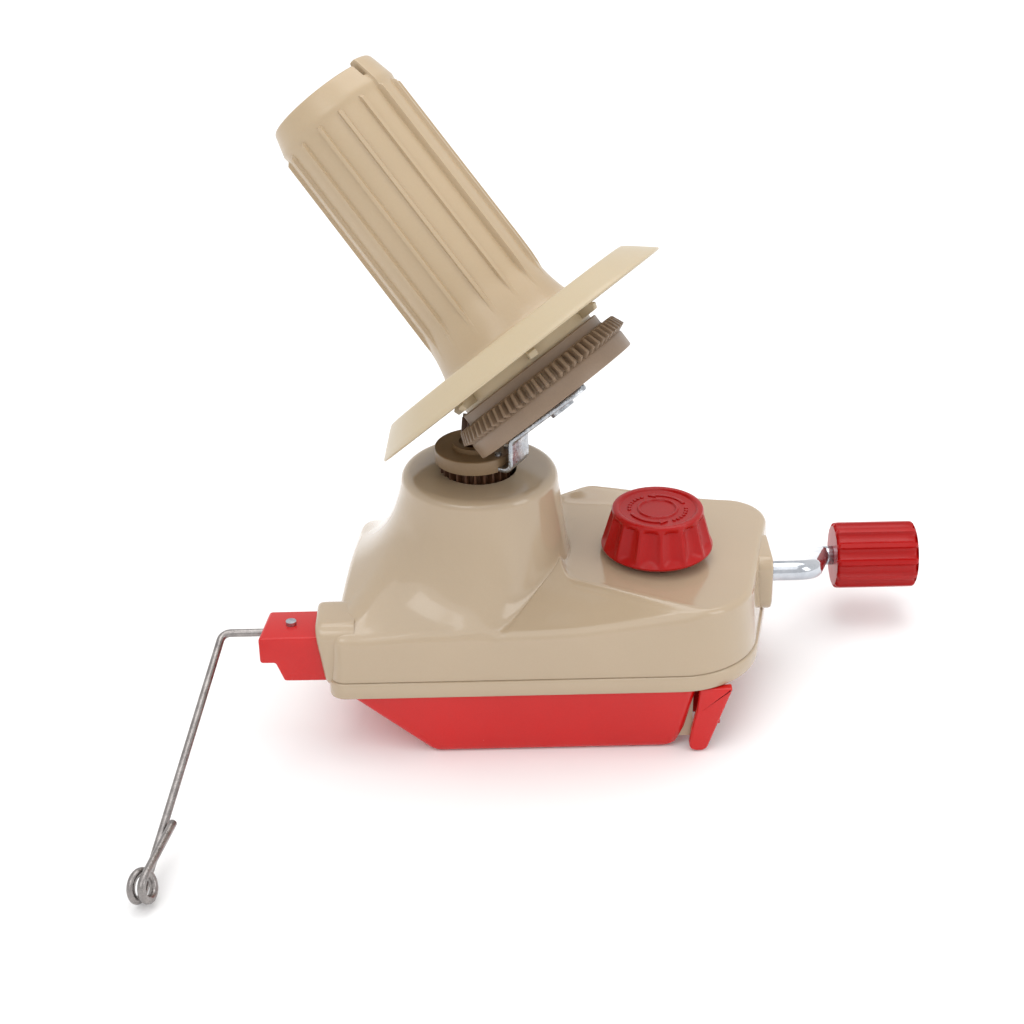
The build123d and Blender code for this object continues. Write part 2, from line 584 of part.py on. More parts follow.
keep(carrier_disc.part, "carrier_disc")

# The cone's own plane: origin at the gear's big end, Z along the cone, X to its lowest point.
axis_a = Vector(0, 0, 1) * cos(radians(TILT)) - out_dir * sin(radians(TILT))
CONE_APEX = CONE_PITCH_R / tan(radians(TILT - PINION_CONE))
gear_centre = Vector(0, 0, APEX_Z) - axis_a * CONE_APEX
low_side = (axis_a * cos(radians(TILT)) - Vector(0, 0, 1)).normalized()
CONE_PLANE = Plane(origin=gear_centre, x_dir=low_side, z_dir=axis_a)

RING_DROP, RING_R, RING_NECK = 7.2, 31.9, 1.3    # the gear's plain ring hangs below its teeth
LEG_GAP = 1.7
LEG_PLANE_AT = -(RING_DROP + LEG_GAP)
# Side view of the bracket in the vertical plane of the cone's axis: s runs outwards, t upwards.
SIDE_PLANE = Plane(origin=(0, 0, 0), x_dir=out_dir, z_dir=out_dir.cross(Vector(0, 0, 1)))


def in_side_plane(point):
    """A space point as distances outwards from the tower's axis and upwards."""
    return (point.dot(out_dir), point.Z)


leg_mid = in_side_plane(gear_centre + axis_a * LEG_PLANE_AT)
leg_dir = (cos(radians(TILT)), sin(radians(TILT)))
leg_drop = (leg_mid[0] - FOOT_OUT) / leg_dir[0]
knee = (FOOT_OUT, leg_mid[1] - leg_drop * leg_dir[1])
leg_end = (leg_mid[0] + 12.0 * leg_dir[0], leg_mid[1] + 12.0 * leg_dir[1])

with BuildPart() as carrier_bracket:
    with BuildSketch(SIDE_PLANE):
        with BuildLine() as strip_line:
            FilletPolyline((9.0, DISC_Z + STRIP_THICK / 2), (FOOT_OUT, DISC_Z + STRIP_THICK / 2), knee,
                           leg_end, radius=2.6)
        trace(strip_line.line, line_width=STRIP_THICK)
    extrude(amount=BRACKET_STRIP / 2, both=True)
    with BuildSketch(shifted(CONE_PLANE, LEG_PLANE_AT - 3)):
        Circle(3.0)
    extrude(amount=6, mode=Mode.SUBTRACT)
keep(carrier_bracket.part, "carrier_bracket")

with BuildPart() as bracket_rivets:
    with BuildSketch(shifted(HEAD_PLANE, STRIP_THICK)):
        with Locations((11.3, -3.4), (11.3, 3.4)):
            Circle(1.2)
    extrude(amount=DISC_RIM - STRIP_THICK + 0.8)
keep(bracket_rivets.part, "bracket_rivets")
with BuildPart() as drilled_disc:
    add(nodes["carrier_disc"])
    add(nodes["bracket_rivets"], mode=Mode.SUBTRACT)
keep(drilled_disc.part, "carrier_disc")

# stub axle of the cone: riveted head under the bracket, shoulder above it
AXLE_TOP = 14.0
with BuildPart() as cone_axle:
    with BuildSketch(shifted(CONE_PLANE, LEG_PLANE_AT - STRIP_THICK / 2 - 1.2)):
        Circle(4.6)
    extrude(amount=1.2)
    with BuildSketch(shifted(CONE_PLANE, LEG_PLANE_AT - STRIP_THICK / 2)):
        Circle(3.0)
    extrude(amount=AXLE_TOP - (LEG_PLANE_AT - STRIP_THICK / 2))
keep(cone_axle.part, "cone_axle")
keep(ring_piece(shifted(CONE_PLANE, LEG_PLANE_AT + STRIP_THICK / 2), 3.0 + FIT, 5.2, 0.7), "axle_washer")
keep(ring_piece(shifted(CONE_PLANE, AXLE_TOP - 1.6), 3.0, 5.2, 1.0, 2.4), "axle_clip")

# ================================================================ cone gear
gear_tip, gear_root = bevel_radii(CONE_APEX, CONE_PITCH_R, 1.1, 1.5)
TRAY_AT = 13.1                 # the tray's rim plane above the gear's big end
CUP_TOP, CUP_R = TRAY_AT - 4.8, 28.25       # upright wall above the teeth
with BuildPart() as cone_gear:
    add(bevel_blank(CONE_PLANE, -CONE_APEX, gear_tip, gear_root, CONE_TEETH, 0.22, 0.6, CONE_FACE,
                    180 / CONE_TEETH))
    with BuildSketch(shifted(CONE_PLANE, -RING_DROP)):
        Circle(RING_R)
    extrude(amount=RING_DROP - RING_NECK)
    with BuildSketch(shifted(CONE_PLANE, -RING_NECK - 0.1)):
        Circle(gear_root - 0.2)
    extrude(amount=RING_NECK + 0.2)
    with BuildSketch(shifted(CONE_PLANE, CONE_APEX * (1 - CONE_FACE))):
        Circle(CUP_R)
    extrude(amount=CUP_TOP - CONE_APEX * (1 - CONE_FACE))
    # cup on the upper side, hollow underside
    with BuildSketch(shifted(CONE_PLANE, 1.2)):
        Circle(26.9)
        Circle(6.4, mode=Mode.SUBTRACT)
    extrude(amount=20, mode=Mode.SUBTRACT)
    with BuildSketch(shifted(CONE_PLANE, -RING_DROP)):
        Circle(29.6)
        Circle(6.0, mode=Mode.SUBTRACT)
    extrude(amount=RING_DROP - 1.0, mode=Mode.SUBTRACT)
    with BuildSketch(shifted(CONE_PLANE, -RING_DROP)):
        Circle(3.0 + FIT)
    extrude(amount=30, mode=Mode.SUBTRACT)
keep(cone_gear.part, "cone_gear")

# ================================================================ yarn tray
TRAY_PLANE = shifted(CONE_PLANE, TRAY_AT)
with BuildPart() as yarn_tray:
    with BuildSketch(Plane.XZ) as tray_profile:
        with BuildLine():
            Polyline((7.0, TRAY_H), (TRAY_FLAT_R, TRAY_H), (TRAY_R, 0), (TRAY_R - 1.3, -0.6),
                     (TRAY_FLAT_R - 0.8, TRAY_H - TRAY_WALL), (26.6, TRAY_H - TRAY_WALL),
                     (26.6, -TRAY_AT + 1.5), (24.6, -TRAY_AT + 1.5), (24.6, TRAY_H - TRAY_WALL),
                     (7.0, TRAY_H - TRAY_WALL), (7.0, TRAY_H))
        make_face()
    revolve(axis=Axis.Z)
tray_part = TRAY_PLANE.location * yarn_tray.part
keep(tray_part, "yarn_tray")

# ================================================================ winding cone
BAND_LOW = CONE_LENGTH - CONE_BAND
FADE = 13.0
with BuildPart() as winding_cone:
    with BuildSketch(Plane.XZ):
        with BuildLine():
            Polyline((CONE_FOOT_R - CONE_WALL, 0.05), (CONE_FOOT_R, 0.05), (CONE_FOOT_R - 2.1, FADE),
                     (CONE_BAND_R - 0.3, FADE + 4), (CONE_BAND_R - 0.6, BAND_LOW - 1),
                     (CONE_BAND_R, BAND_LOW),
                     (CONE_RIM_R, CONE_LENGTH), (CONE_RIM_R - CONE_WALL, CONE_LENGTH),
                     (CONE_BAND_R - 1.2 - CONE_WALL, BAND_LOW), (CONE_BAND_R - 1.2 - CONE_WALL, FADE),
                     (CONE_FOOT_R - CONE_WALL - 0.6, 3.0), (CONE_FOOT_R - CONE_WALL, 0.05))
        make_face()
    revolve(axis=Axis.Z)
    # ribs along the cone
    with BuildSketch(Plane.XY.offset(FADE - 2)):
        with PolarLocations(CONE_RIB_R - 1.4, CONE_RIBS, start_angle=11.25):
            Rectangle(2.8, 1.5)
    extrude(amount=BAND_LOW - FADE)
    # floor of the cone, which the screws hold to the tray
    with BuildSketch(Plane.XY.offset(0.05)):
        Circle(CONE_FOOT_R - CONE_WALL)
        Circle(7.0, mode=Mode.SUBTRACT)
    extrude(amount=2.0)
    # notch at the rim that holds the end of the yarn
    with BuildSketch(Plane.XY.offset(BAND_LOW)):
        with Locations((0, -CONE_BAND_R + 1)):
            Rectangle(2.0, 12)
    extrude(amount=CONE_BAND + 1, mode=Mode.SUBTRACT)
keep(shifted(CONE_PLANE, TRAY_AT + TRAY_H).location * winding_cone.part, "winding_cone")

# three screws from the gear's underside up through the tray into the cone's floor
screw_circle = 16.0
with BuildPart() as cone_screws:
    with BuildSketch(shifted(CONE_PLANE, -2.6)):
        with PolarLocations(screw_circle, 3):
            Circle(2.9)
    extrude(amount=1.6)
    with BuildSketch(shifted(CONE_PLANE, -2.6)):
        with PolarLocations(screw_circle, 3):
            Circle(1.45)
    extrude(amount=TRAY_AT + TRAY_H + 4.2)
cone_screw_part = cone_screws.part
with BuildPart() as screw_pillars:
    with BuildSketch(shifted(CONE_PLANE, 1.25)):
        with PolarLocations(screw_circle, 3):
            Circle(4.0)
    extrude(amount=TRAY_AT + TRAY_H - TRAY_WALL - 1.2)
for name in ("cone_gear", "yarn_tray", "winding_cone"):
    with BuildPart() as drilled:
        add(nodes[name])
        if name == "yarn_tray":
            add(screw_pillars.part)
        add(cone_screw_part, mode=Mode.SUBTRACT)
    keep(drilled.part, name)
keep(cone_screw_part, "cone_screws")

# ================================================================ knob, screw and nut
DECK_AT_KNOB = DECK_DEPTH_Z - (KNOB_X - DECK_X) * DECK_SLOPE
KNOB_PLANE = Plane(origin=(KNOB_X, KNOB_Y, KNOB_Z), x_dir=(1, 0, 0), z_dir=(0, 0, 1))
knob_height = KNOB_TOP_Z - KNOB_Z
with BuildPart() as clamp_knob:
    with BuildSketch(Plane.XZ):
        with BuildLine():
            Polyline((0, 0), (KNOB_R - 3.2, 0), (KNOB_R, 2.2), (KNOB_R, 4.0),
                     (KNOB_TOP_R + 0.9, knob_height - 2.4), (KNOB_TOP_R, knob_height),
                     (KNOB_TOP_R - 1.8, knob_height),
                     (KNOB_TOP_R - 2.4, knob_height - 0.9), (0, knob_height - 0.9), (0, 0))
        make_face()
    revolve(axis=Axis.Z)
    lean = degrees(atan2(KNOB_R - KNOB_TOP_R, knob_height))
    for flute in range(KNOB_FLUTES):
        turn = 360 / KNOB_FLUTES * flute
        foot = Vector(KNOB_R + 2.6, 0, 3.4).rotate(Axis.Z, turn)
        tip = Vector(KNOB_TOP_R + 2.8, 0, knob_height - 2.0).rotate(Axis.Z, turn)
        with BuildSketch(Plane(origin=foot, z_dir=tip - foot)):
            Circle(3.4)
        extrude(amount=(tip - foot).length, mode=Mode.SUBTRACT)
    with BuildSketch(Plane.XY):
        Circle(SCREW_R)
    extrude(amount=10.0, mode=Mode.SUBTRACT)
keep(KNOB_PLANE.location * clamp_knob.part, "clamp_knob")

SCREW_TOP = KNOB_Z + 10.0
SCREW_END = 21.0
with BuildPart() as clamp_screw:
    with BuildSketch(Plane(origin=(KNOB_X, KNOB_Y, SCREW_END))):
        Circle(SCREW_R)
    extrude(amount=SCREW_TOP - SCREW_END)
keep(clamp_screw.part, "clamp_screw")
keep(ring_piece(Plane(origin=(KNOB_X, KNOB_Y, DECK_AT_KNOB - WALL - 2.6)), SCREW_R, SCREW_R + 2.2, 1.2, 2.0),
     "screw_clip")
keep(ring_piece(Plane(origin=(KNOB_X, KNOB_Y, KNOB_Z - 1.0)), SCREW_R, 7.0, 1.0), "knob_washer")

NUT_Z, NUT_H, NUT_FLAT_R = 45.5, 5.0, 5.0
with BuildPart() as clamp_nut:
    with BuildSketch(Plane(origin=(KNOB_X, KNOB_Y, NUT_Z))):
        RegularPolygon(NUT_FLAT_R, 6, major_radius=False)
        Circle(SCREW_R + 0.02, mode=Mode.SUBTRACT)
    extrude(amount=NUT_H)
keep(clamp_nut.part, "clamp_nut")

# ================================================================ jaw
JAW_HALF, JAW_DRAFT = 44.6, 3.6
JAW_LEFT_TOP, JAW_LEFT_FLAT, JAW_RIGHT_TOP, JAW_RIGHT_FLAT = -46.0, -17.0, 69.5, 66.0
LEG_RIGHT = 89.4


def jaw_section(level, inset):
    """The tray part of the jaw at one level: sloping left end, drafted sides."""
    share = level / JAW_TOP
    left = JAW_LEFT_FLAT + (JAW_LEFT_TOP - JAW_LEFT_FLAT) * share
    right = JAW_RIGHT_FLAT + (JAW_RIGHT_TOP - JAW_RIGHT_FLAT) * share
    half = JAW_HALF - JAW_DRAFT * (1 - share)
    with BuildSketch(Plane(origin=((left + right) / 2, 0, level))) as section:
        RectangleRounded(right - left - 2 * inset, 2 * (half - inset), 5.0)
    return section.sketch


with BuildPart() as jaw_ribs:
    for rib_x in (-24, -8, 8, 24, 40, 54):
        with BuildSketch(Plane(origin=(rib_x, 0, 1.0))):
            Rectangle(2.0, 2 * JAW_HALF)
        extrude(amount=JAW_TOP - 1.0)
    with BuildSketch(Plane(origin=(8, 0, 1.0))):
        with Locations((0, 22), (0, -22)):
            Rectangle(130, 2.0)
    extrude(amount=JAW_TOP - 1.0)
    loft([jaw_section(0, 0.3), jaw_section(JAW_TOP, 0.3)], ruled=True, mode=Mode.INTERSECT)

with BuildPart() as clamp_jaw:
    loft([jaw_section(0, 0), jaw_section(JAW_TOP, 0)], ruled=True)
    fillet(clamp_jaw.edges().group_by(Axis.Z)[0], radius=2.0)
    loft([jaw_section(2.6, JAW_WALL + 0.6), jaw_section(JAW_TOP + 0.01, JAW_WALL)], ruled=True,
         mode=Mode.SUBTRACT)
    # ribs that carry the table
    add(jaw_ribs.part)
    # legs at the crank end, joined to the tray by a wall on each side
    for side in (-1, 1):
        with BuildSketch(Plane.XZ.offset(-side * 44.2)):
            with BuildLine():
                Polyline((JAW_RIGHT_TOP - 1, JAW_TOP), (LEG_RIGHT, JAW_TOP), (82.6, 2.0), (81.0, 0.4),
                         (78.4, 0.4), (76.0, 3.0), (75.0, 8.0), (JAW_RIGHT_TOP - 1, 8.0),
                         (JAW_RIGHT_TOP - 1, JAW_TOP))
            make_face()
        extrude(amount=side * 3.6)
    with BuildSketch(Plane(origin=(84.6, 0, 10.0))):
        Rectangle(2.4, 82)
    extrude(amount=JAW_TOP - 10.0)
    # column that holds the nut inside the casing
    with BuildSketch(Plane(origin=(KNOB_X, COLUMN_MID_Y, 1.0))):
        Rectangle(2 * COLUMN_X, 2 * COLUMN_Y)
    extrude(amount=NUT_Z + NUT_H)
    with BuildSketch(Plane(origin=(KNOB_X, KNOB_Y, NUT_Z))):
        RegularPolygon(NUT_FLAT_R, 6, major_radius=False)
    extrude(amount=NUT_H, mode=Mode.SUBTRACT)
    with BuildSketch(Plane(origin=(KNOB_X, KNOB_Y, 4.0))):
        Circle(SCREW_R + 0.6)
    extrude(amount=60, mode=Mode.SUBTRACT)
    # slots for the guide fins
    for fin_y in GUIDE_FINS:
        with Locations((FIN_X, fin_y, 14)):
            Box(FIN_LENGTH + 2 * GAP, FIN_THICK + 2 * GAP, 40, mode=Mode.SUBTRACT)
keep(clamp_jaw.part, "clamp_jaw")

# ================================================================ yarn guide
HOLDER_LEFT, HOLDER_STEP = -77.0, -70.2     # left ends of the holder's upper and lower parts
SPRING_X = -66.0               # the friction spring presses on the wire here
with BuildPart() as guide_holder:
    with BuildSketch(Plane.YZ.offset(HOLDER_LEFT)):
        with Locations((GUIDE_Y, GUIDE_Z - HOLDER_DROP)):
            RectangleRounded(HOLDER_DEPTH, HOLDER_HEIGHT, 2.5)
    extrude(amount=BOSS_X + 5 - HOLDER_LEFT)
    # the lower part is shorter
    with Locations((HOLDER_STEP - 10, GUIDE_Y, GUIDE_Z - HOLDER_DROP - HOLDER_HEIGHT / 2)):
        Box(20, 40, 15.0, mode=Mode.SUBTRACT)
    with BuildSketch(Plane.YZ.offset(HOLDER_LEFT - 5)):
        with Locations((GUIDE_Y, GUIDE_Z)):
            Circle(WIRE_R + FIT)
    extrude(amount=19, mode=Mode.SUBTRACT)
    # pocket of the friction spring and the hole of the holding screw
    with BuildSketch(Plane.XY.offset(GUIDE_Z - 2.2)):
        with Locations((SPRING_X, GUIDE_Y)):
            Circle(1.9)
    extrude(amount=13.2, mode=Mode.SUBTRACT)
keep(guide_holder.part, "guide_holder")
with BuildPart() as guide_spring:
    with BuildSketch(Plane.XY.offset(GUIDE_Z + WIRE_R + FIT)):
        with Locations((SPRING_X, GUIDE_Y)):
            Circle(1.7)
            Circle(1.0, mode=Mode.SUBTRACT)
    extrude(amount=1.6)
keep(guide_spring.part, "guide_spring")
with BuildPart() as holder_screw:
    with BuildSketch(Plane(origin=(SPRING_X, GUIDE_Y, GUIDE_Z + WIRE_R + FIT + 1.7))):
        Circle(1.85)
    extrude(amount=1.4)
keep(holder_screw.part, "holder_screw")

eye = Vector(EYE_X, EYE_Y, EYE_Z)
bend = Vector(BEND_X, GUIDE_Y, GUIDE_Z)
arm = eye - bend
arm_dir = arm.normalized()
EYE_AXIS = Vector(0.866, -0.44, 0.24)
EYE_AXIS = (EYE_AXIS - arm_dir * EYE_AXIS.dot(arm_dir)).normalized()
side_dir = EYE_AXIS.cross(arm_dir).normalized()
EYE_SIDES = 8                  # the eyelet's turns are an eight-sided coil with rounded corners
EYE_CORNERS = 12               # one turn and a half
corner_r = EYE_R / cos(radians(180 / EYE_SIDES))
coil = []
for corner in range(EYE_CORNERS):
    angle = radians((corner + 0.5) * 360 / EYE_SIDES)
    turned = arm_dir * sin(angle) + side_dir * cos(angle)
    coil.append(eye + turned * corner_r + EYE_AXIS * (EYE_PITCH * corner / EYE_SIDES))
tail_end = eye - arm_dir * TAIL + EYE_AXIS * 3.6 + side_dir * 3.4
with BuildPart() as guide_wire:
    with BuildLine() as wire_path:
        FilletPolyline((HOLDER_LEFT + 13, GUIDE_Y, GUIDE_Z), bend, *coil, tail_end, radius=WIRE_BEND)
    with BuildSketch(Plane(origin=(HOLDER_LEFT + 13, GUIDE_Y, GUIDE_Z), z_dir=(-1, 0, 0))):
        Circle(WIRE_R)
    sweep(path=wire_path.line)
keep(guide_wire.part, "guide_wire")

for name, part in nodes.items():
    export_step(part, f"parts/{name}.step")
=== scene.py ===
"""Ball winder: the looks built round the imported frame.

Pieces are worked out in millimetres in the frame's own axes and become metres when a mesh is made.
"""

import json
from math import acos, atan2, cos, pi, radians, sin, sqrt, tan

import bmesh
import bpy
import numpy as np
from mathutils import Matrix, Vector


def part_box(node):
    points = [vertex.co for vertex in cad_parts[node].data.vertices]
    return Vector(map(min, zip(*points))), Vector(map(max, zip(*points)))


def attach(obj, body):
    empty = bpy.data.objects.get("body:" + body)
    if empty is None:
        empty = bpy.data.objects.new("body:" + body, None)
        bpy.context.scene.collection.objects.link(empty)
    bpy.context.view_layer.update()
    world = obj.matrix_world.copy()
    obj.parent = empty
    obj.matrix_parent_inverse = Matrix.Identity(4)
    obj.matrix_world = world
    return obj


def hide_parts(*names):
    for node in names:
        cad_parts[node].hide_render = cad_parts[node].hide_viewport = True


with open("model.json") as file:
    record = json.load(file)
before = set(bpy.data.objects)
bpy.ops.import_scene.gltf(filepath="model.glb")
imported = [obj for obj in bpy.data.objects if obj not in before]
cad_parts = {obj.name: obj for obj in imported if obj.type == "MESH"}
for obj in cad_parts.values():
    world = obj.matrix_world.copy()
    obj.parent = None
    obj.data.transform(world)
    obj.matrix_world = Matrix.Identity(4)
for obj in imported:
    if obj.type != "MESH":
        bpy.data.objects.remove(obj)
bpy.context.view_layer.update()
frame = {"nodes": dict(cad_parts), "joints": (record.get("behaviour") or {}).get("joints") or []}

MM = 0.001
UP = np.array((0.0, 0.0, 1.0))
joints = {joint["name"]: joint for joint in frame["joints"]}


# ================================================================ places read from the frame
def node_box(name):
    """Lowest and highest corner of a CAD node, in millimetres."""
    low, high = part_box(name)
    return np.array(low) / MM, np.array(high) / MM


def joint_line(name):
    """Origin in millimetres and unit axis of a joint."""
    joint = joints[name]
    axis = np.array(joint["axis"], float)
    return np.array(joint["pos_m"], float) / MM, axis / np.linalg.norm(axis)


def unit(vector):
    """The vector at length one."""
    return vector / np.linalg.norm(vector)


class Place:
    """A local frame: origin and three unit axes, with Z along a part's own axis."""

    def __init__(self, origin, z_axis, x_axis):
        self.origin = np.array(origin, float)
        self.z = unit(np.array(z_axis, float))
        x_axis = np.array(x_axis, float)
        self.x = unit(x_axis - self.z * x_axis.dot(self.z))
        self.y = np.cross(self.z, self.x)

    def points(self, local):
        """Local points in the frame's own axes."""
        local = np.asarray(local, float)
        return self.origin + local[..., :1] * self.x + local[..., 1:2] * self.y + local[..., 2:3] * self.z

    def moved(self, along):
        """The same place shifted along its own Z."""
        return Place(self.origin + self.z * along, self.z, self.x)


# ================================================================ mesh helpers
def linked(name, data):
    """A new object in the scene."""
    thing = bpy.data.objects.new(name, data)
    bpy.context.scene.collection.objects.link(thing)
    return thing


def bare_object(name, verts, faces):
    """An object with a mesh from points in millimetres and faces, and nothing else."""
    mesh = bpy.data.meshes.new(name)
    mesh.from_pydata((np.asarray(verts, float) * MM).tolist(), [], faces)
    return linked(name, mesh)


def cut_away(piece, verts, faces):
    """Takes the shape of the points and faces out of a piece."""
    cutter = bare_object("cutter", verts, faces)
    cut = piece.modifiers.new("cut", "BOOLEAN")
    cut.object, cut.operation, cut.solver = cutter, "DIFFERENCE", "EXACT"
    graph = bpy.context.evaluated_depsgraph_get()
    piece.data = bpy.data.meshes.new_from_object(piece.evaluated_get(graph))
    piece.modifiers.clear()
    bpy.data.objects.remove(cutter)


def build(name, verts, faces, body, slot, material, replaced=(), sharp=35.0):
    """One finished piece from points in millimetres and faces."""
    piece = bare_object(name, verts, faces)
    mesh = piece.data
    work = bmesh.new()
    work.from_mesh(mesh)
    bmesh.ops.remove_doubles(work, verts=work.verts, dist=1e-6)
    bmesh.ops.dissolve_degenerate(work, edges=work.edges, dist=1e-7)
    bmesh.ops.recalc_face_normals(work, faces=work.faces)
    work.to_mesh(mesh)
    work.free()
    mesh.materials.append(material)
    mesh.shade_smooth()
    mesh.set_sharp_from_angle(angle=radians(sharp))
    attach(piece, body)
    if replaced:
        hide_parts(*replaced)
    return piece


def ring_faces(count, rings, looped):
    """Quads between successive rings of count points each."""
    faces = []
    for ring in range(rings if looped else rings - 1):
        a, b = ring * count, ((ring + 1) % rings) * count
        for k in range(count):
            k2 = (k + 1) % count
            faces.append((a + k, a + k2, b + k2, b + k))
    return faces


def skin(rings, looped=False):
    """Points and faces of a skin over rings; open ends get a flat face."""
    count = len(rings[0])
    faces = ring_faces(count, len(rings), looped)
    if not looped:
        faces.append(tuple(range(count - 1, -1, -1)))
        faces.append(tuple(range((len(rings) - 1) * count, len(rings) * count)))
    return np.vstack(rings), faces


def joined(*shapes):
    """Several point and face sets as one."""
    verts, faces, offset = [], [], 0
    for points, polygons in shapes:
        verts.append(np.asarray(points, float))
        faces += [tuple(i + offset for i in polygon) for polygon in polygons]
        offset += len(points)
    return np.vstack(verts), faces


def rounded_path(points, radii, closed=False, steps=6):
    """A line of points whose corners become arcs. It works in the plane and in space."""
    points = [np.array(p, float) for p in points]
    count, out = len(points), []
    for i, corner in enumerate(points):
        radius = radii[i] if hasattr(radii, "__len__") else radii
        if radius == 0 or (not closed and i in (0, count - 1)):
            out.append(corner)
            continue
        back, ahead = points[i - 1] - corner, points[(i + 1) % count] - corner
        len_back, len_ahead = np.linalg.norm(back), np.linalg.norm(ahead)
        back, ahead = back / len_back, ahead / len_ahead
        angle = acos(np.clip(back.dot(ahead), -1, 1))
        if angle > pi - 0.01:
            out.append(corner)
            continue
        trim = min(radius / tan(angle / 2), 0.49 * len_back, 0.49 * len_ahead)
        radius = trim * tan(angle / 2)
        centre = corner + unit(back + ahead) * radius / sin(angle / 2)
        start, end = (corner + back * trim - centre) / radius, (corner + ahead * trim - centre) / radius
        sweep = acos(np.clip(start.dot(end), -1, 1))
        for k in range(steps + 1):
            share = k / steps
            spoke = (sin((1 - share) * sweep) * start + sin(share * sweep) * end) / sin(sweep)
            out.append(centre + radius * spoke)
    return np.array(out)


def turned(profile, place, steps=96, shape=None, looped=False):
    """A turned form: profile points are (radius, height). shape may change the radius with the angle."""
    angles = np.arange(steps) * 2 * pi / steps
    rings = []
    for radius, height in profile:
        radii = np.full(steps, radius) if shape is None else shape(angles, radius, height)
        rings.append(place.points(np.stack([radii * np.cos(angles), radii * np.sin(angles),
                                            np.full(steps, height)], axis=1)))
    return skin(rings, looped)


def tube(path, radius, sides=20):
    """A round bar along a path, with rounded ends."""
    path = np.array(path, float)
    ahead = np.gradient(path, axis=0)
    ahead /= np.linalg.norm(ahead, axis=1)[:, None]
    side = unit(np.cross(ahead[0], UP if abs(ahead[0][2]) < 0.9 else np.array((1.0, 0.0, 0.0))))
    angles = np.arange(sides) * 2 * pi / sides
    rings = []
    for i, point in enumerate(path):
        side = unit(side - ahead[i] * side.dot(ahead[i]))
        other = np.cross(ahead[i], side)
        spread = np.cos(angles)[:, None] * side + np.sin(angles)[:, None] * other
        ends = []
        if i in (0, len(path) - 1):
            chamfer = 0.35 * radius
            sign = -1 if i == 0 else 1
            for turn in (30, 60, 90):
                ends.append(point + ahead[i] * sign * chamfer * sin(radians(turn))
                            + spread * (radius - chamfer * (1 - cos(radians(turn)))))
        ring = point + spread * radius
        rings += ends[::-1] + [ring] if i == 0 else [ring] + ends
    return skin(rings)


def box_outline(width, depth, radius, steps=6):
    """A rounded rectangle about the origin."""
    w, d = width / 2, depth / 2
    return rounded_path([(w, -d), (w, d), (-w, d), (-w, -d)], radius, closed=True, steps=steps)


def inset_outline(outline, amount):
    """The outline moved in by an amount along its normals. It runs anticlockwise."""
    ahead = np.roll(outline, -1, axis=0) - np.roll(outline, 1, axis=0)
    ahead /= np.linalg.norm(ahead, axis=1)[:, None]
    return outline + np.stack([-ahead[:, 1], ahead[:, 0]], axis=1) * np.reshape(amount, (-1, 1))


def slab(outline, place, low, high, low_round=0.0, high_round=0.0, steps=4):
    """A flat piece with rounded edges from an anticlockwise outline."""
    rings = []
    turns = [radians(90 * k / steps) for k in range(steps + 1)]
    for turn in (turns if low_round else [pi / 2]):
        rings.append((low_round * (1 - sin(turn)), low + low_round * (1 - cos(turn))))
    for turn in (turns[::-1] if high_round else [pi / 2]):
        rings.append((high_round * (1 - sin(turn)), high - high_round * (1 - cos(turn))))
    out = []
    for inset, level in rings:
        flat = inset_outline(outline, inset)
        out.append(place.points(np.column_stack([flat, np.full(len(flat), level)])))
    return skin(out)


def smooth_step(low, high, value):
    """0 below low, 1 above high and a soft rise between them. It falls if low is above high."""
    share = np.clip((value - low) / (high - low), 0, 1)
    return share * share * (3 - 2 * share)


def soft_min(a, b, blend):
    """The lower of two heights, with a rounded joint of about the width of blend."""
    share = np.clip(0.5 + 0.5 * (b - a) / blend, 0, 1)
    return b * (1 - share) + a * share - blend * share * (1 - share) / 2


def soft_max(a, b, blend):
    """The higher of two heights, with a rounded joint."""
    return -soft_min(-a, -b, blend)


# ================================================================ materials
COAT_ROUGH = 0.05
SCATTER_REACH = (0.004, 0.0025, 0.0015)    # metres, for red, green and blue
BUMP_DEPTH = 0.0006                        # metres


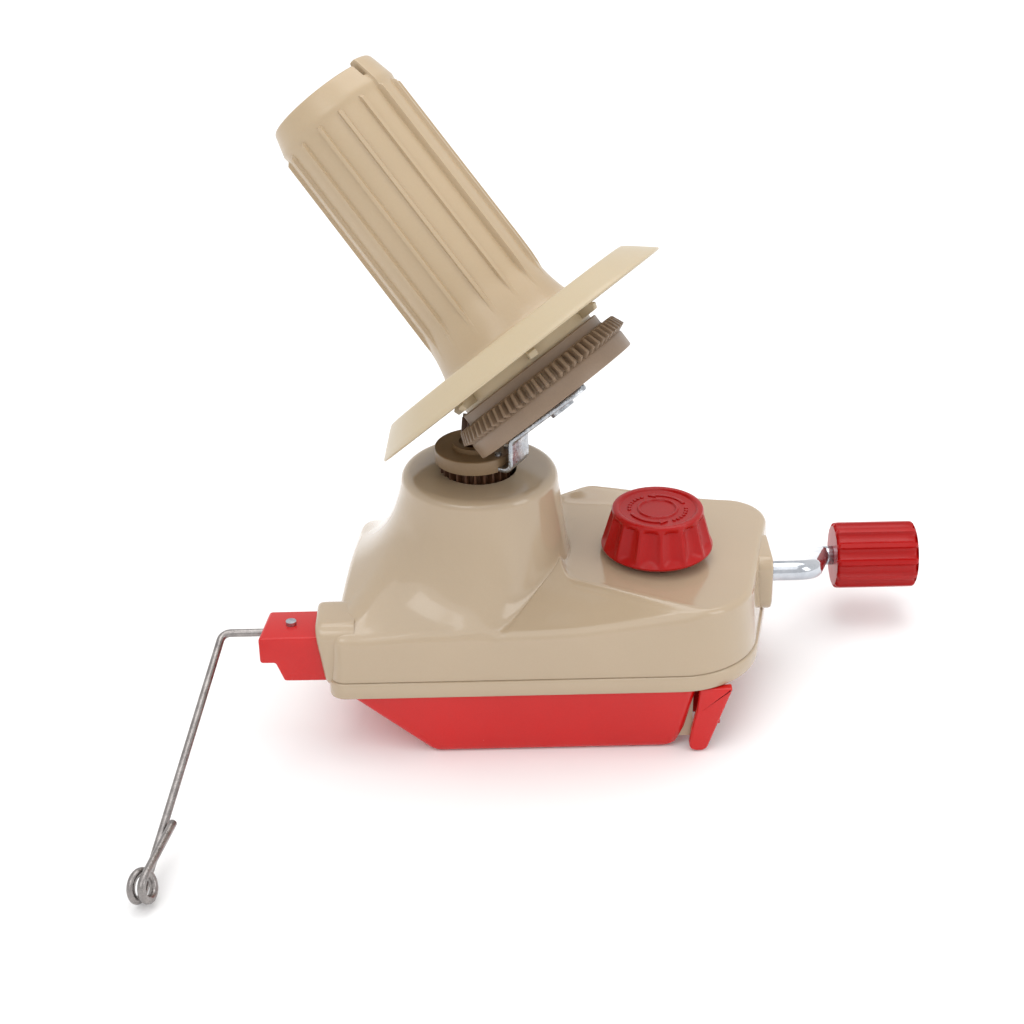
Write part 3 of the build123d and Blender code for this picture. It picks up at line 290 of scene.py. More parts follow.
def plain_material(name, color, rough, metal=0.0, coat=0.0, ior=1.5, mottle=(60.0, 0.06), grain=(900.0, 0.04),
                   bump=0.02, bump_scale=350.0, tint=None, rough_change=0.08, subsurface=0.0):
    """A moulded or metal surface: broad colour changes, fine grain, uneven gloss and a slight bump.

    mottle and grain are each a noise's scale and strength.
    """
    material = bpy.data.materials.new(name)
    material.use_nodes = True
    nodes, links = material.node_tree.nodes, material.node_tree.links
    shader = nodes["Principled BSDF"]
    shader.inputs["Metallic"].default_value = metal
    shader.inputs["IOR"].default_value = ior
    shader.inputs["Coat Weight"].default_value = coat
    shader.inputs["Coat Roughness"].default_value = COAT_ROUGH
    if subsurface:
        shader.inputs["Subsurface Weight"].default_value = subsurface
        shader.inputs["Subsurface Radius"].default_value = SCATTER_REACH
    place = nodes.new("ShaderNodeTexCoord")

    def noise(scale, detail, roughness=0.5):
        node = nodes.new("ShaderNodeTexNoise")
        node.inputs["Scale"].default_value = scale
        node.inputs["Detail"].default_value = detail
        node.inputs["Roughness"].default_value = roughness
        links.new(place.outputs["Object"], node.inputs["Vector"])
        return node.outputs["Fac"]

    def blend(factor, a, b, low=0.3, high=0.7):
        ramp = nodes.new("ShaderNodeValToRGB")
        ramp.color_ramp.elements[0].position = low
        ramp.color_ramp.elements[1].position = high
        ramp.color_ramp.elements[0].color = (*a, 1)
        ramp.color_ramp.elements[1].color = (*b, 1)
        links.new(factor, ramp.inputs["Fac"])
        return ramp.outputs["Color"]

    tint = tint or tuple(c * (1 - 2.2 * mottle[1]) for c in color)
    broad = blend(noise(mottle[0], 3.0), color, tint)
    fine = blend(noise(grain[0], 2.0), (1.0, 1.0, 1.0), (1 - grain[1] * 2,) * 3)
    mixed = nodes.new("ShaderNodeMix")
    mixed.data_type = "RGBA"
    mixed.blend_type = "MULTIPLY"
    mixed.inputs["Factor"].default_value = 1.0
    links.new(broad, mixed.inputs["A"])
    links.new(fine, mixed.inputs["B"])
    links.new(mixed.outputs["Result"], shader.inputs["Base Color"])
    gloss = nodes.new("ShaderNodeMapRange")
    gloss.inputs["To Min"].default_value = max(rough - rough_change, 0.02)
    gloss.inputs["To Max"].default_value = rough + rough_change
    links.new(noise(mottle[0] * 3.1, 4.0, 0.6), gloss.inputs["Value"])
    links.new(gloss.outputs["Result"], shader.inputs["Roughness"])
    relief = nodes.new("ShaderNodeBump")
    relief.inputs["Strength"].default_value = bump
    relief.inputs["Distance"].default_value = BUMP_DEPTH
    links.new(noise(bump_scale, 3.0), relief.inputs["Height"])
    links.new(relief.outputs["Normal"], shader.inputs["Normal"])
    return material


casing_cream = plain_material("casing_cream", (0.44, 0.34, 0.232), 0.15, coat=0.3, bump=0.05, bump_scale=110,
                              mottle=(24, 0.02), grain=(1500, 0.008), rough_change=0.05, subsurface=0.04)
cone_cream = plain_material("cone_cream", (0.47, 0.355, 0.225), 0.32, coat=0.08, bump=0.04, bump_scale=160,
                            mottle=(22, 0.025), grain=(1300, 0.01), rough_change=0.06, subsurface=0.08)
tray_cream = plain_material("tray_cream", (0.50, 0.405, 0.265), 0.34, coat=0.05, bump=0.04, bump_scale=160,
                            mottle=(18, 0.02), grain=(1300, 0.01), rough_change=0.06, subsurface=0.10)
red_plastic = plain_material("red_plastic", (0.58, 0.004, 0.003), 0.24, bump=0.05, bump_scale=200,
                             mottle=(26, 0.05), grain=(1700, 0.03), rough_change=0.07, subsurface=0.05)
red_gloss = plain_material("red_gloss", (0.40, 0.002, 0.0015), 0.30, bump=0.06, bump_scale=240,
                           mottle=(34, 0.06), grain=(1700, 0.03), rough_change=0.07, subsurface=0.03,
                           ior=1.36)
gear_tan = plain_material("gear_tan", (0.26, 0.18, 0.12), 0.40, bump=0.12, bump_scale=420,
                          mottle=(45, 0.05), grain=(1500, 0.03))
disc_brown = plain_material("disc_brown", (0.27, 0.175, 0.092), 0.34, bump=0.12, bump_scale=380,
                            mottle=(50, 0.06), grain=(1500, 0.03))
gear_dark = plain_material("gear_dark", (0.11, 0.045, 0.020), 0.38, bump=0.15, bump_scale=500,
                           mottle=(60, 0.1), grain=(1500, 0.05))
zinc_steel = plain_material("zinc_steel", (0.66, 0.68, 0.70), 0.30, metal=1.0, bump=0.25, bump_scale=800,
                            mottle=(330, 0.2), grain=(2200, 0.12), tint=(0.40, 0.43, 0.48), rough_change=0.14)
chrome_steel = plain_material("chrome_steel", (0.66, 0.68, 0.72), 0.12, metal=1.0, bump=0.12, bump_scale=420,
                              mottle=(120, 0.1), grain=(2400, 0.05), tint=(0.42, 0.45, 0.50),
                              rough_change=0.08)
wire_steel = plain_material("wire_steel", (0.40, 0.37, 0.355), 0.30, metal=1.0, bump=0.22, bump_scale=900,
                            mottle=(260, 0.15), grain=(2400, 0.12), tint=(0.26, 0.24, 0.235),
                            rough_change=0.12)
slot_materials = {"casing_cream": casing_cream, "cone_cream": cone_cream, "red_plastic": red_plastic,
                  "gear_tan": gear_tan, "disc_brown": disc_brown, "gear_dark": gear_dark,
                  "zinc_steel": zinc_steel, "chrome_steel": chrome_steel, "wire_steel": wire_steel}


# ================================================================ joints that set the places
crank_origin = joint_line("crank_turn")[0]
handle_origin = joint_line("handle_spin")[0]
guide_origin = joint_line("guide_swing")[0]
knob_origin = joint_line("knob_turn")[0]
cone_origin, cone_axis = joint_line("cone_spin")
cone_axis = cone_axis if cone_axis[2] > 0 else -cone_axis


# ================================================================ casing
case_low, case_high = node_box("upper_casing")
SKIRT_Z, TOWER_Z = case_low[2], case_high[2]
LIP_Z = SKIRT_Z + 6.0
CASE_HALF = (case_high[1] - case_low[1]) / 2 - 0.8
LEFT_X, LEFT_SLANT, RIGHT_X, RIGHT_SLANT = -49.0, 0.077, 104.9, 0.2175   # the ends slant in plan
CORNER_RS = (30.0, 15.0, 10.0, 5.0)        # near right, far right, far left, near left
TOWER_X, TOWER_R, HOLE_R = 1.5, 28.0, 13.3
RIM_ROUND = 3.6
DECK_X, DECK_Z, DECK_FALL = 30.0, 61.2, 0.073
SLOPE_Z, SLOPE_Y, SLOPE_X = 50.5, 44.3, 49.5   # where the slopes meet the walls
SIDE_SLOPE, LEFT_SLOPE = 0.49, 0.62
NEAR_RISE, NEAR_RISE_X = 0.1246, 30.0      # the near slope's extra rise towards the crank
FAR_RISE, FAR_RISE_X = 0.34, 6.0
SADDLE_RISE, SADDLE_X = 5.5, 29.5          # the deck climbs steeply where the tower begins
RIDGE = 4.2                                # low ridge along the deck's far edge
DRAFT, DRAFT_HEIGHT = 1.8, 24.0            # how far the wall leans in over that height
EDGE_ROUND = 2.4
CASE_WALL = 2.2
COLUMNS, ROWS, RAY_STEPS = 420, 84, 500
TURN_WEIGHT = 6.0                          # how much closer the rows lie where the surface turns
HOLDER_DEPTH, HOLDER_HEIGHT, HOLDER_DROP = 18.4, 18.0, 5.9


def case_outline():
    """Plan outline at the lip, evenly spaced, anticlockwise."""
    corners = []
    for x0, slant, y in ((RIGHT_X, RIGHT_SLANT, -CASE_HALF), (RIGHT_X, RIGHT_SLANT, CASE_HALF),
                         (LEFT_X, LEFT_SLANT, CASE_HALF), (LEFT_X, LEFT_SLANT, -CASE_HALF)):
        corners.append((x0 + slant * y, y))
    line = rounded_path(corners, CORNER_RS, closed=True, steps=24)
    line = np.vstack([line, line[:1]])
    run = np.concatenate([[0], np.cumsum(np.linalg.norm(np.diff(line, axis=0), axis=1))])
    at = np.linspace(0, run[-1], COLUMNS, endpoint=False)
    return np.column_stack([np.interp(at, run, line[:, 0]), np.interp(at, run, line[:, 1])])


def tower_height(x, y):
    """Height of the tower's surface: steep beside the deck, flared on the other sides."""
    out = np.hypot(x - TOWER_X, y)
    facing = (x - TOWER_X) / np.maximum(out, 1e-6)
    deck_side = smooth_step(-0.1, 0.75, facing)
    left_side = smooth_step(0.2, 0.95, -facing)
    lean = 0.165 * (1 - deck_side) * (1 - left_side) + 0.12 * deck_side + 0.131 * left_side
    curve = 0.0050 * (1 - deck_side) * (1 - left_side) + 0.0004 * deck_side + 0.0119 * left_side
    past = np.maximum(out - TOWER_R, 0)
    flank = TOWER_Z - RIM_ROUND - (-lean + np.sqrt(lean ** 2 + 4 * curve * past)) / (2 * curve)
    rim_at = TOWER_R - RIM_ROUND
    drop = np.clip((out - rim_at) / RIM_ROUND, 0, 1)
    rim = TOWER_Z - RIM_ROUND * (1 - np.sqrt(np.maximum(1 - drop ** 2, 0)))
    return np.where(out <= TOWER_R, rim, flank)


def past_line(value, reach):
    """About 0 below zero and about the value above it, with a soft bend of the given reach."""
    return np.logaddexp(0, value / reach) * reach


def case_height(x, y):
    """Height of the casing's upper surface."""
    near = SLOPE_Z + SIDE_SLOPE * (y + SLOPE_Y) + NEAR_RISE * past_line(x - NEAR_RISE_X, 6.0)
    left = SLOPE_Z + LEFT_SLOPE * (x + SLOPE_X - LEFT_SLANT * y)
    far = SLOPE_Z + SIDE_SLOPE * (SLOPE_Y - y) + FAR_RISE * past_line(x - FAR_RISE_X, 5.0)
    slopes = soft_min(soft_min(near, far, 3.0), left, 6.0)
    ridge = RIDGE * smooth_step(94.0, 36.0, x) * smooth_step(33.0, 42.0, y)
    deck = DECK_Z - DECK_FALL * (x - DECK_X) + ridge
    deck = deck + SADDLE_RISE * past_line(SADDLE_X - x, 1.2)
    shell = soft_min(slopes, deck, 1.6)
    blend = 5.0 + 13.0 * smooth_step(24.0, -24.0, x)
    return soft_max(tower_height(x, y), shell, blend)


def case_rings():
    """Rings of points from the tower's hole over the surface and down the wall to the skirt."""
    outline = case_outline()
    lean = np.full(COLUMNS, DRAFT)
    for _ in range(3):
        edge = inset_outline(outline, lean)
        top = case_height(edge[:, 0], edge[:, 1])
        lean = DRAFT * np.clip((top - EDGE_ROUND - LIP_Z) / DRAFT_HEIGHT, 0, 1.2)
    border = inset_outline(outline, lean + EDGE_ROUND)
    ahead = border - np.array((TOWER_X, 0.0))
    start = np.array((TOWER_X, 0.0)) + HOLE_R * ahead / np.linalg.norm(ahead, axis=1)[:, None]
    fine = np.linspace(0, 1, RAY_STEPS)
    surface = np.zeros((ROWS, COLUMNS, 3))
    for column in range(COLUMNS):
        across = border[column] - start[column]
        ray = start[column] + fine[:, None] * across
        height = case_height(ray[:, 0], ray[:, 1])
        line = np.column_stack([ray, height])
        step = np.linalg.norm(np.diff(line, axis=0), axis=1)
        slope = np.arctan(np.gradient(height, fine * np.linalg.norm(across)))
        turn = np.abs(np.gradient(slope))
        weight = step + TURN_WEIGHT * (turn[1:] + turn[:-1]) / 2
        run = np.concatenate([[0], np.cumsum(weight)])
        share = np.interp(np.linspace(0, run[-1], ROWS), run, fine)
        flat = start[column] + share[:, None] * across
        surface[:, column] = np.column_stack([flat, case_height(flat[:, 0], flat[:, 1])])
    rings = [row for row in surface]
    for turn in [radians(a) for a in (75, 60, 45, 30, 15, 0)]:
        flat = inset_outline(outline, lean + EDGE_ROUND * (1 - cos(turn)))
        height = case_height(flat[:, 0], flat[:, 1]) - EDGE_ROUND * (1 - sin(turn))
        rings.append(np.column_stack([flat, height]))
    wall_top = rings[-1][:, 2]
    for share in (0.25, 0.5, 0.75, 1.0):
        level = wall_top + (LIP_Z + 0.9 - wall_top) * share
        rings.append(np.column_stack([inset_outline(outline, lean * (1 - share)), level]))
    groove_and_lip = ((0.0, LIP_Z + 0.5), (0.45, LIP_Z + 0.35), (0.45, LIP_Z + 0.05), (-0.35, LIP_Z - 0.1),
                      (-0.6, LIP_Z - 0.5), (-0.8, SKIRT_Z + 0.7), (-0.65, SKIRT_Z + 0.2),
                      (-0.3, SKIRT_Z), (1.6, SKIRT_Z), (2.0, SKIRT_Z + 0.4))
    for inset, level in groove_and_lip:
        rings.append(np.column_stack([inset_outline(outline, inset), np.full(COLUMNS, level)]))
    rings.append(np.column_stack([inset_outline(outline, 2.4), np.full(COLUMNS, LIP_Z + 8.0)]))
    rings.append(np.column_stack([inset_outline(outline, lean + CASE_WALL + 0.6), wall_top - 2.5]))
    inner = surface[::-4] - np.array((0, 0, CASE_WALL))
    for row in inner[:-1]:
        pull = np.array((TOWER_X, 0.0)) - row[:, :2]
        reach = np.linalg.norm(pull, axis=1)[:, None]
        steep = smooth_step(62.0, 72.0, row[:, 2])[:, None]
        flat = row[:, :2] + pull / reach * np.minimum(CASE_WALL * steep, np.maximum(reach - HOLE_R, 0))
        rings.append(np.column_stack([flat, row[:, 2]]))
    rings.append(np.column_stack([start, np.full(COLUMNS, TOWER_Z - CASE_WALL)]))
    return rings


def guide_socket():
    """The boss on the casing's left end with the holder's socket. Its face leans out towards the top."""
    width, height, lean_out, depth = 23.4, 27.0, 0.14, 14
    face_x, top = case_low[0] - 0.2, SKIRT_Z + height
    middle = (SKIRT_Z + top) / 2 + 0.6
    place = Place((0, guide_origin[1], middle), (1, 0, 0), (0, 1, 0))
    outer = box_outline(width, height - 1.2, 6.0, 10)
    inner = box_outline(HOLDER_DEPTH + 0.4, HOLDER_HEIGHT + 0.4, 2.6, 10)
    inner = inner + np.array((0.0, guide_origin[2] - HOLDER_DROP - middle))
    rings = []
    for outline, level, inset in ((outer, depth, 0), (outer, 3.0, 0), (outer, 1.6, 0.15), (outer, 0.7, 0.6),
                                  (outer, 0.15, 1.4), (outer, 0, 2.4), (inner, 0, -0.5), (inner, 0.5, 0),
                                  (inner, depth, 0)):
        flat = inset_outline(outline, inset)
        points = place.points(np.column_stack([flat, np.full(len(flat), face_x + level)]))
        if level < depth:
            points[:, 0] += (top - points[:, 2]) * lean_out
        rings.append(points)
    return skin(rings, looped=True)


def crank_panel():
    """The raised panel round the crank shaft."""
    place = Place((0, crank_origin[1], crank_origin[2]), (1, 0, 0), (0, 1, 0))
    face_x, depth = 108.4, 7
    outer = box_outline(24.0, 22.0, 5.0, 8)
    hole = box_outline(12.0, 12.0, 5.999, 8)
    rings = []
    for outline, level, inset in ((outer, face_x - depth, 0), (outer, face_x - 1.2, 0),
                                  (outer, face_x - 0.4, 0.3), (outer, face_x, 1.2),
                                  (hole, face_x, 0), (hole, face_x - depth, 0)):
        flat = inset_outline(outline, inset)
        rings.append(place.points(np.column_stack([flat, np.full(len(flat), level)])))
    return skin(rings, looped=True)


build("casing_shell", *skin(case_rings(), looped=True), "housing", "casing_cream", casing_cream,
      ["upper_casing"], sharp=50)
build("guide_socket", *guide_socket(), "housing", "casing_cream", casing_cream)
build("crank_panel", *crank_panel(), "housing", "casing_cream", casing_cream)

# ================================================================ cone, tray and gear
NEAR_SIDE = np.array((0.0, -1.0, 0.0))
cone_place = Place(cone_origin, cone_axis, NEAR_SIDE)
gear_mesh = np.array([v.co for v in frame["nodes"]["cone_gear"].data.vertices]) / MM
gear_local = gear_mesh - cone_origin
TRAY_AT, TRAY_H = 13.1, 8.0
CONE_LENGTH, CONE_BAND, RIM_R, WALL_R, FOOT_R = 100.7, 10.4, 20.3, 22.6, 25.6
RIBS, RIB_WIDTH, RIB_TURN, RIB_PROUD = 16, 1.3, radians(-3.4), 1.15
SEAM_TURN, SEAM_STEP, SEAM_LIFT = radians(62), 0.9, 1.4
SLOT_WIDTH, SLOT_DEPTH = 1.5, 5.0
BAND_LOW = CONE_LENGTH - CONE_BAND
CONE_STEPS = 960
tray_place, foot_place = cone_place.moved(TRAY_AT), cone_place.moved(TRAY_AT + TRAY_H)


def past_seam(angles):
    """1 on the side that overlaps the other at the seam, and 0 elsewhere."""
    past = (angles - SEAM_TURN) % (2 * pi)
    return smooth_step(0, 0.02, past) * (1 - smooth_step(2.1, 2.5, past))


def cone_radius(angles, radius, height):
    """Ribs stand on the outer wall from the flare to the band. One side overlaps the other at a seam."""
    if radius < RIM_R - 0.4:
        return np.full(len(angles), radius)
    pitch = 2 * pi / RIBS
    off = (angles - RIB_TURN + pitch / 2) % pitch - pitch / 2
    across = np.abs(off) * radius
    rib = 1 - smooth_step(RIB_WIDTH / 2 - 0.1, RIB_WIDTH / 2 + 0.2, across)
    along = smooth_step(9.0, 17.0, height) * (1 - smooth_step(BAND_LOW - 0.5, BAND_LOW - 0.1, height))
    return radius + RIB_PROUD * rib * along + SEAM_STEP * past_seam(angles) * smooth_step(6.0, 20.0, height)


def winding_cone():
    """The hollow cone: flared foot, ribbed wall, plain band and rim. The proud side's rim stands higher."""
    outer = [(FOOT_R + 0.9, 0.02), (FOOT_R + 0.3, 0.4), (FOOT_R - 0.2, 1.6), (FOOT_R - 0.8, 4.0),
             (FOOT_R - 1.5, 7.5), (FOOT_R - 2.1, 11.0), (FOOT_R - 2.6, 14.0), (WALL_R, 17.0)]
    outer += [(WALL_R - 0.35 * k / 12, 17.0 + (BAND_LOW - 19.0) * k / 12) for k in range(1, 13)]
    outer += [(22.22, BAND_LOW - 0.8), (22.3, BAND_LOW + 0.4), (22.45, BAND_LOW + 1.4),
              (WALL_R, BAND_LOW + 2.4)]
    outer += [(WALL_R + (RIM_R + 0.25 - WALL_R) * k / 5, BAND_LOW + 2.4 + (CONE_BAND - 3.2) * k / 5)
              for k in range(1, 6)]
    rim = [(RIM_R, CONE_LENGTH - 0.35), (RIM_R - 0.3, CONE_LENGTH - 0.05), (RIM_R - 0.8, CONE_LENGTH),
           (RIM_R - 1.5, CONE_LENGTH - 0.1), (RIM_R - 1.8, CONE_LENGTH - 0.5)]
    inner = [(18.4, BAND_LOW), (19.4, 60.0), (19.8, 20.0), (21.5, 6.0), (22.6, 2.05), (7.0, 2.05),
             (7.0, 0.05)]
    points, faces = turned(outer + rim + inner, foot_place, CONE_STEPS, cone_radius, looped=True)
    away = points - foot_place.origin
    height = away @ foot_place.z
    lift = SEAM_LIFT * past_seam(np.arctan2(away @ foot_place.y, away @ foot_place.x))
    lift = lift * smooth_step(CONE_LENGTH - 9.0, CONE_LENGTH - 1.0, height)
    return points + np.outer(lift, foot_place.z), faces


def rim_slot():
    """The notch at the rim that holds the end of the yarn."""
    turn = SEAM_TURN - radians(1.5)
    out = foot_place.x * cos(turn) + foot_place.y * sin(turn)
    start = foot_place.origin + out * (RIM_R + 1) + foot_place.z * (CONE_LENGTH - SLOT_DEPTH)
    return slab(box_outline(8.0, SLOT_WIDTH, 0.7, 5), Place(start, foot_place.z, out), 0, 12)


cone_piece = build("winding_cone_shell", *winding_cone(), "cone", "cone_cream", cone_cream,
                   ["winding_cone"], 40)
cut_away(cone_piece, *rim_slot())


def tray_shell():
    """The saucer with its collar."""
    flat_r, rim_r, wall = 49.5, 58.8, 1.4
    top = [(7.0, TRAY_H), (30.0, TRAY_H), (flat_r - 1.0, TRAY_H), (flat_r - 0.3, TRAY_H - 0.1),
           (flat_r + 0.4, TRAY_H - 0.55)]
    skirt = [(flat_r + (rim_r - flat_r) * k / 6, TRAY_H * (1 - k / 6) - 0.02) for k in range(1, 7)]
    edge = [(rim_r + 0.1, -0.3), (rim_r - 0.2, -0.75), (rim_r - 0.9, -0.8), (rim_r - 1.4, -0.3)]
    under = [(rim_r - 1.4 - (rim_r - flat_r - 0.6) * k / 6, (TRAY_H - wall) * k / 6) for k in range(1, 7)]
    collar = [(26.9, TRAY_H - wall), (26.6, TRAY_H - wall - 0.4), (26.6, -11.2), (26.3, -11.6),
              (24.9, -11.6), (24.6, -11.2), (24.6, TRAY_H - wall), (7.0, TRAY_H - wall)]
    return turned(top + skirt + edge + under + collar, tray_place, 192, looped=True)


def tray_hook(turn):
    """One small hook on the collar, under the saucer."""
    collar_r = 26.4
    out = tray_place.x * cos(turn) + tray_place.y * sin(turn)
    hook = Place(tray_place.origin + out * collar_r, np.cross(tray_place.z, out), out)
    side = rounded_path([(0, -3.6), (5.6, -3.6), (6.4, -1.6), (5.0, -0.6), (4.6, 5.0), (0, 6.2)], 0.5,
                        True, 3)
    side = np.column_stack([side[:, 0], -side[:, 1]])[::-1]
    return slab(side, hook, -1.6, 1.6, 0.35, 0.35, 3)


build("tray_shell", *tray_shell(), "cone", "cone_cream", tray_cream, ["yarn_tray"])
hooks = [tray_hook(radians(20 + 60 * k)) for k in range(6)]
build("tray_hooks", *joined(*hooks), "cone", "cone_cream", tray_cream)

TEETH, TOOTH_DEPTH, TEETH_TOP = 72, 2.5, 4.4
gear_tip = np.hypot(gear_local @ cone_place.x, gear_local @ cone_place.y).max()


def gear_radius(angles, radius, height):
    """Teeth are notched into the widest band, with the spaces at whole pitches from the lowest point."""
    if radius < gear_tip - 2.6 or height < -0.6 or height > TEETH_TOP + 0.2:
        return np.full(len(angles), radius)
    low_side = unit(cone_axis * cone_axis[2] - UP)
    start = atan2(low_side.dot(cone_place.y), low_side.dot(cone_place.x))
    pitch = 2 * pi / TEETH
    off = np.abs((angles - start + pitch / 2) % pitch - pitch / 2) * radius
    space = 1 - smooth_step(0.45, 1.0, off)
    return radius - TOOTH_DEPTH * space


def cone_gear():
    """The gear: lower ring, band of teeth, upper cup and hub."""
    ring = [(29.8, -7.2), (31.3, -7.2), (31.75, -7.05), (31.9, -6.6), (31.9, -1.9), (31.75, -1.4)]
    teeth = [(gear_tip - 2.7, -1.1), (gear_tip - 0.5, -0.2), (gear_tip, 0.05), (gear_tip - 0.05, 0.4),
             (gear_tip - 1.6, TEETH_TOP - 0.3), (gear_tip - 1.9, TEETH_TOP),
             (gear_tip - 2.3, TEETH_TOP + 0.1)]
    cup = [(gear_tip - 4.6, TEETH_TOP + 0.12), (28.5, TEETH_TOP + 0.15), (28.25, TEETH_TOP + 0.5),
           (28.25, 7.9), (27.9, 8.3), (27.2, 8.3), (26.9, 8.0), (26.9, 1.2), (6.4, 1.2), (6.4, 13.0),
           (6.0, 13.5), (3.05, 13.5)]
    under = [(3.05, -6.8), (3.4, -7.2), (5.6, -7.2), (6.0, -6.8), (6.0, -1.2), (6.6, -1.0), (29.0, -1.0),
             (29.6, -1.6), (29.6, -7.0)]
    return turned(ring + teeth + cup + under, cone_place, TEETH * 12, gear_radius, looped=True)


build("cone_gear_wheel", *cone_gear(), "cone", "gear_tan", gear_tan, ["cone_gear"], 30)

# ================================================================ knob
knob_low, knob_high = node_box("clamp_knob")
knob_place = Place((knob_origin[0], knob_origin[1], knob_low[2]), (0, 0, 1), (1, 0, 0))
KNOB_H = knob_high[2] - knob_low[2]
KNOB_R, KNOB_TOP_R, KNOB_FLUTES = (knob_high[0] - knob_low[0]) / 2, 16.1, 14


def knob_radius(angles, radius, height):
    """Scallops round the knob's side, deepest between its lower lip and its top rim."""
    if height < 2.3 or height > KNOB_H - 1.6 or radius < KNOB_TOP_R - 0.2:
        return np.full(len(angles), radius)
    pitch = 2 * pi / KNOB_FLUTES
    off = (angles + pitch / 2) % pitch - pitch / 2
    scallop = np.cos(np.clip(off / pitch * 2.3 * pi / 2, -pi / 2, pi / 2)) ** 0.8
    deep = 1.7 * smooth_step(2.4, 4.6, height) * smooth_step(KNOB_H - 1.6, KNOB_H - 3.0, height)
    return radius - deep * scallop


def knob_body():
    """The knob: bottom lip, scalloped side, top rim, sunk top with a ring in it, and the socket below."""
    side = [(KNOB_R - 0.2 + (KNOB_TOP_R + 0.7 - KNOB_R) * k / 12, 3.0 + (KNOB_H - 5.0) * k / 12)
            for k in range(13)]
    profile = [(3.0, 0.0), (KNOB_R - 3.4, 0.0), (KNOB_R - 2.2, 0.3), (KNOB_R - 0.5, 1.5),
               (KNOB_R - 0.05, 2.0), (KNOB_R, 2.5)] + side
    profile += [(KNOB_TOP_R + 0.45, KNOB_H - 1.0), (KNOB_TOP_R + 0.1, KNOB_H - 0.35),
                (KNOB_TOP_R - 0.5, KNOB_H - 0.05), (KNOB_TOP_R - 1.4, KNOB_H),
                (KNOB_TOP_R - 2.0, KNOB_H - 0.25), (KNOB_TOP_R - 2.4, KNOB_H - 0.8),
                (KNOB_TOP_R - 3.0, KNOB_H - 0.95), (7.5, KNOB_H - 0.95), (7.2, KNOB_H - 0.55),
                (6.9, KNOB_H - 0.45), (6.6, KNOB_H - 0.55), (6.3, KNOB_H - 1.0), (3.0, KNOB_H - 1.05),
                (0.05, KNOB_H - 1.05)]
    profile += [(0.05, KNOB_H - 7.2), (3.0, KNOB_H - 7.2)]
    return turned(profile, knob_place, KNOB_FLUTES * 20, knob_radius, looped=True)


def arc_band(inner, outer, start, end, steps=10):
    """Outline of part of a ring, in degrees."""
    turns = [radians(start + (end - start) * k / steps) for k in range(steps + 1)]
    return ([(outer * cos(t), outer * sin(t)) for t in turns]
            + [(inner * cos(t), inner * sin(t)) for t in reversed(turns)])


def knob_marks():
    """Two raised arrows and rows of dots on the knob's top."""
    shapes = []
    base, top, middle_r = KNOB_H - 1.1, KNOB_H - 0.55, 10.2
    for start in (200, 20):
        band = np.array(arc_band(9.6, 10.8, start, start + 70))
        shapes.append(slab(band, knob_place, base, top, 0, 0.15, 2))
        tip, foot = radians(start + 86), radians(start + 70)
        head = np.array([(8.6 * cos(foot), 8.6 * sin(foot)), (11.8 * cos(foot), 11.8 * sin(foot)),
                         (middle_r * cos(tip), middle_r * sin(tip))])
        shapes.append(slab(head, knob_place, base, top, 0, 0.1, 2))
        for k in range(7):
            turn = radians(start + 100 + 10 * k)
            away = np.array((middle_r * cos(turn), middle_r * sin(turn), 0))
            dot = Place(knob_place.origin + away, (0, 0, 1), (1, 0, 0))
            shapes.append(turned([(0.75, base), (0.75, top - 0.15), (0.55, top), (0.05, top)], dot, 12))
    return joined(*shapes)


build("knob_body", *knob_body(), "knob", "red_plastic", red_gloss, ["clamp_knob"], 32)
build("knob_marks", *knob_marks(), "knob", "red_plastic", red_gloss)

# ================================================================ crank
ARM_X = 124.5                              # where the rod bends towards the handle
handle_low, handle_high = node_box("crank_handle")
rod_low, rod_high = node_box("crank_rod")
ROD_R, HANDLE_R, HANDLE_FLUTES, GROOVE_HALF, GROOVE_DEPTH = 3.75, 13.2, 12, 2.5, 1.7
HANDLE_X, HANDLE_LENGTH = handle_low[0], handle_high[0] - handle_low[0]


def crank_rod():
    """The bent rod. Its end inside the handle is turned down."""
    y1, z1 = crank_origin[1:]
    y2, z2 = handle_origin[1:]
    path = rounded_path([(rod_low[0], y1, z1), (ARM_X, y1, z1), (HANDLE_X - 5, y2, z2),
                         (HANDLE_X - 0.2, y2, z2)], 8.5, steps=14)
    shaft = tube(path, ROD_R, 32)
    stub = tube([(x, y2, z2) for x in (HANDLE_X - 1.5, HANDLE_X, rod_high[0] - 2.2, rod_high[0] - 1.8)],
                ROD_R - 0.5, 28)
    return joined(shaft, stub)


def handle_radius(angles, radius, height):
    """Grooves along the grip."""
    if radius < HANDLE_R - 1.4:
        return np.full(len(angles), radius)
    pitch = 2 * pi / HANDLE_FLUTES
    off = np.abs((angles + pitch / 2) % pitch - pitch / 2) * radius
    groove = np.sqrt(np.maximum(GROOVE_HALF ** 2 - off ** 2, 0)) / GROOVE_HALF
    return radius - GROOVE_DEPTH * groove ** 0.9


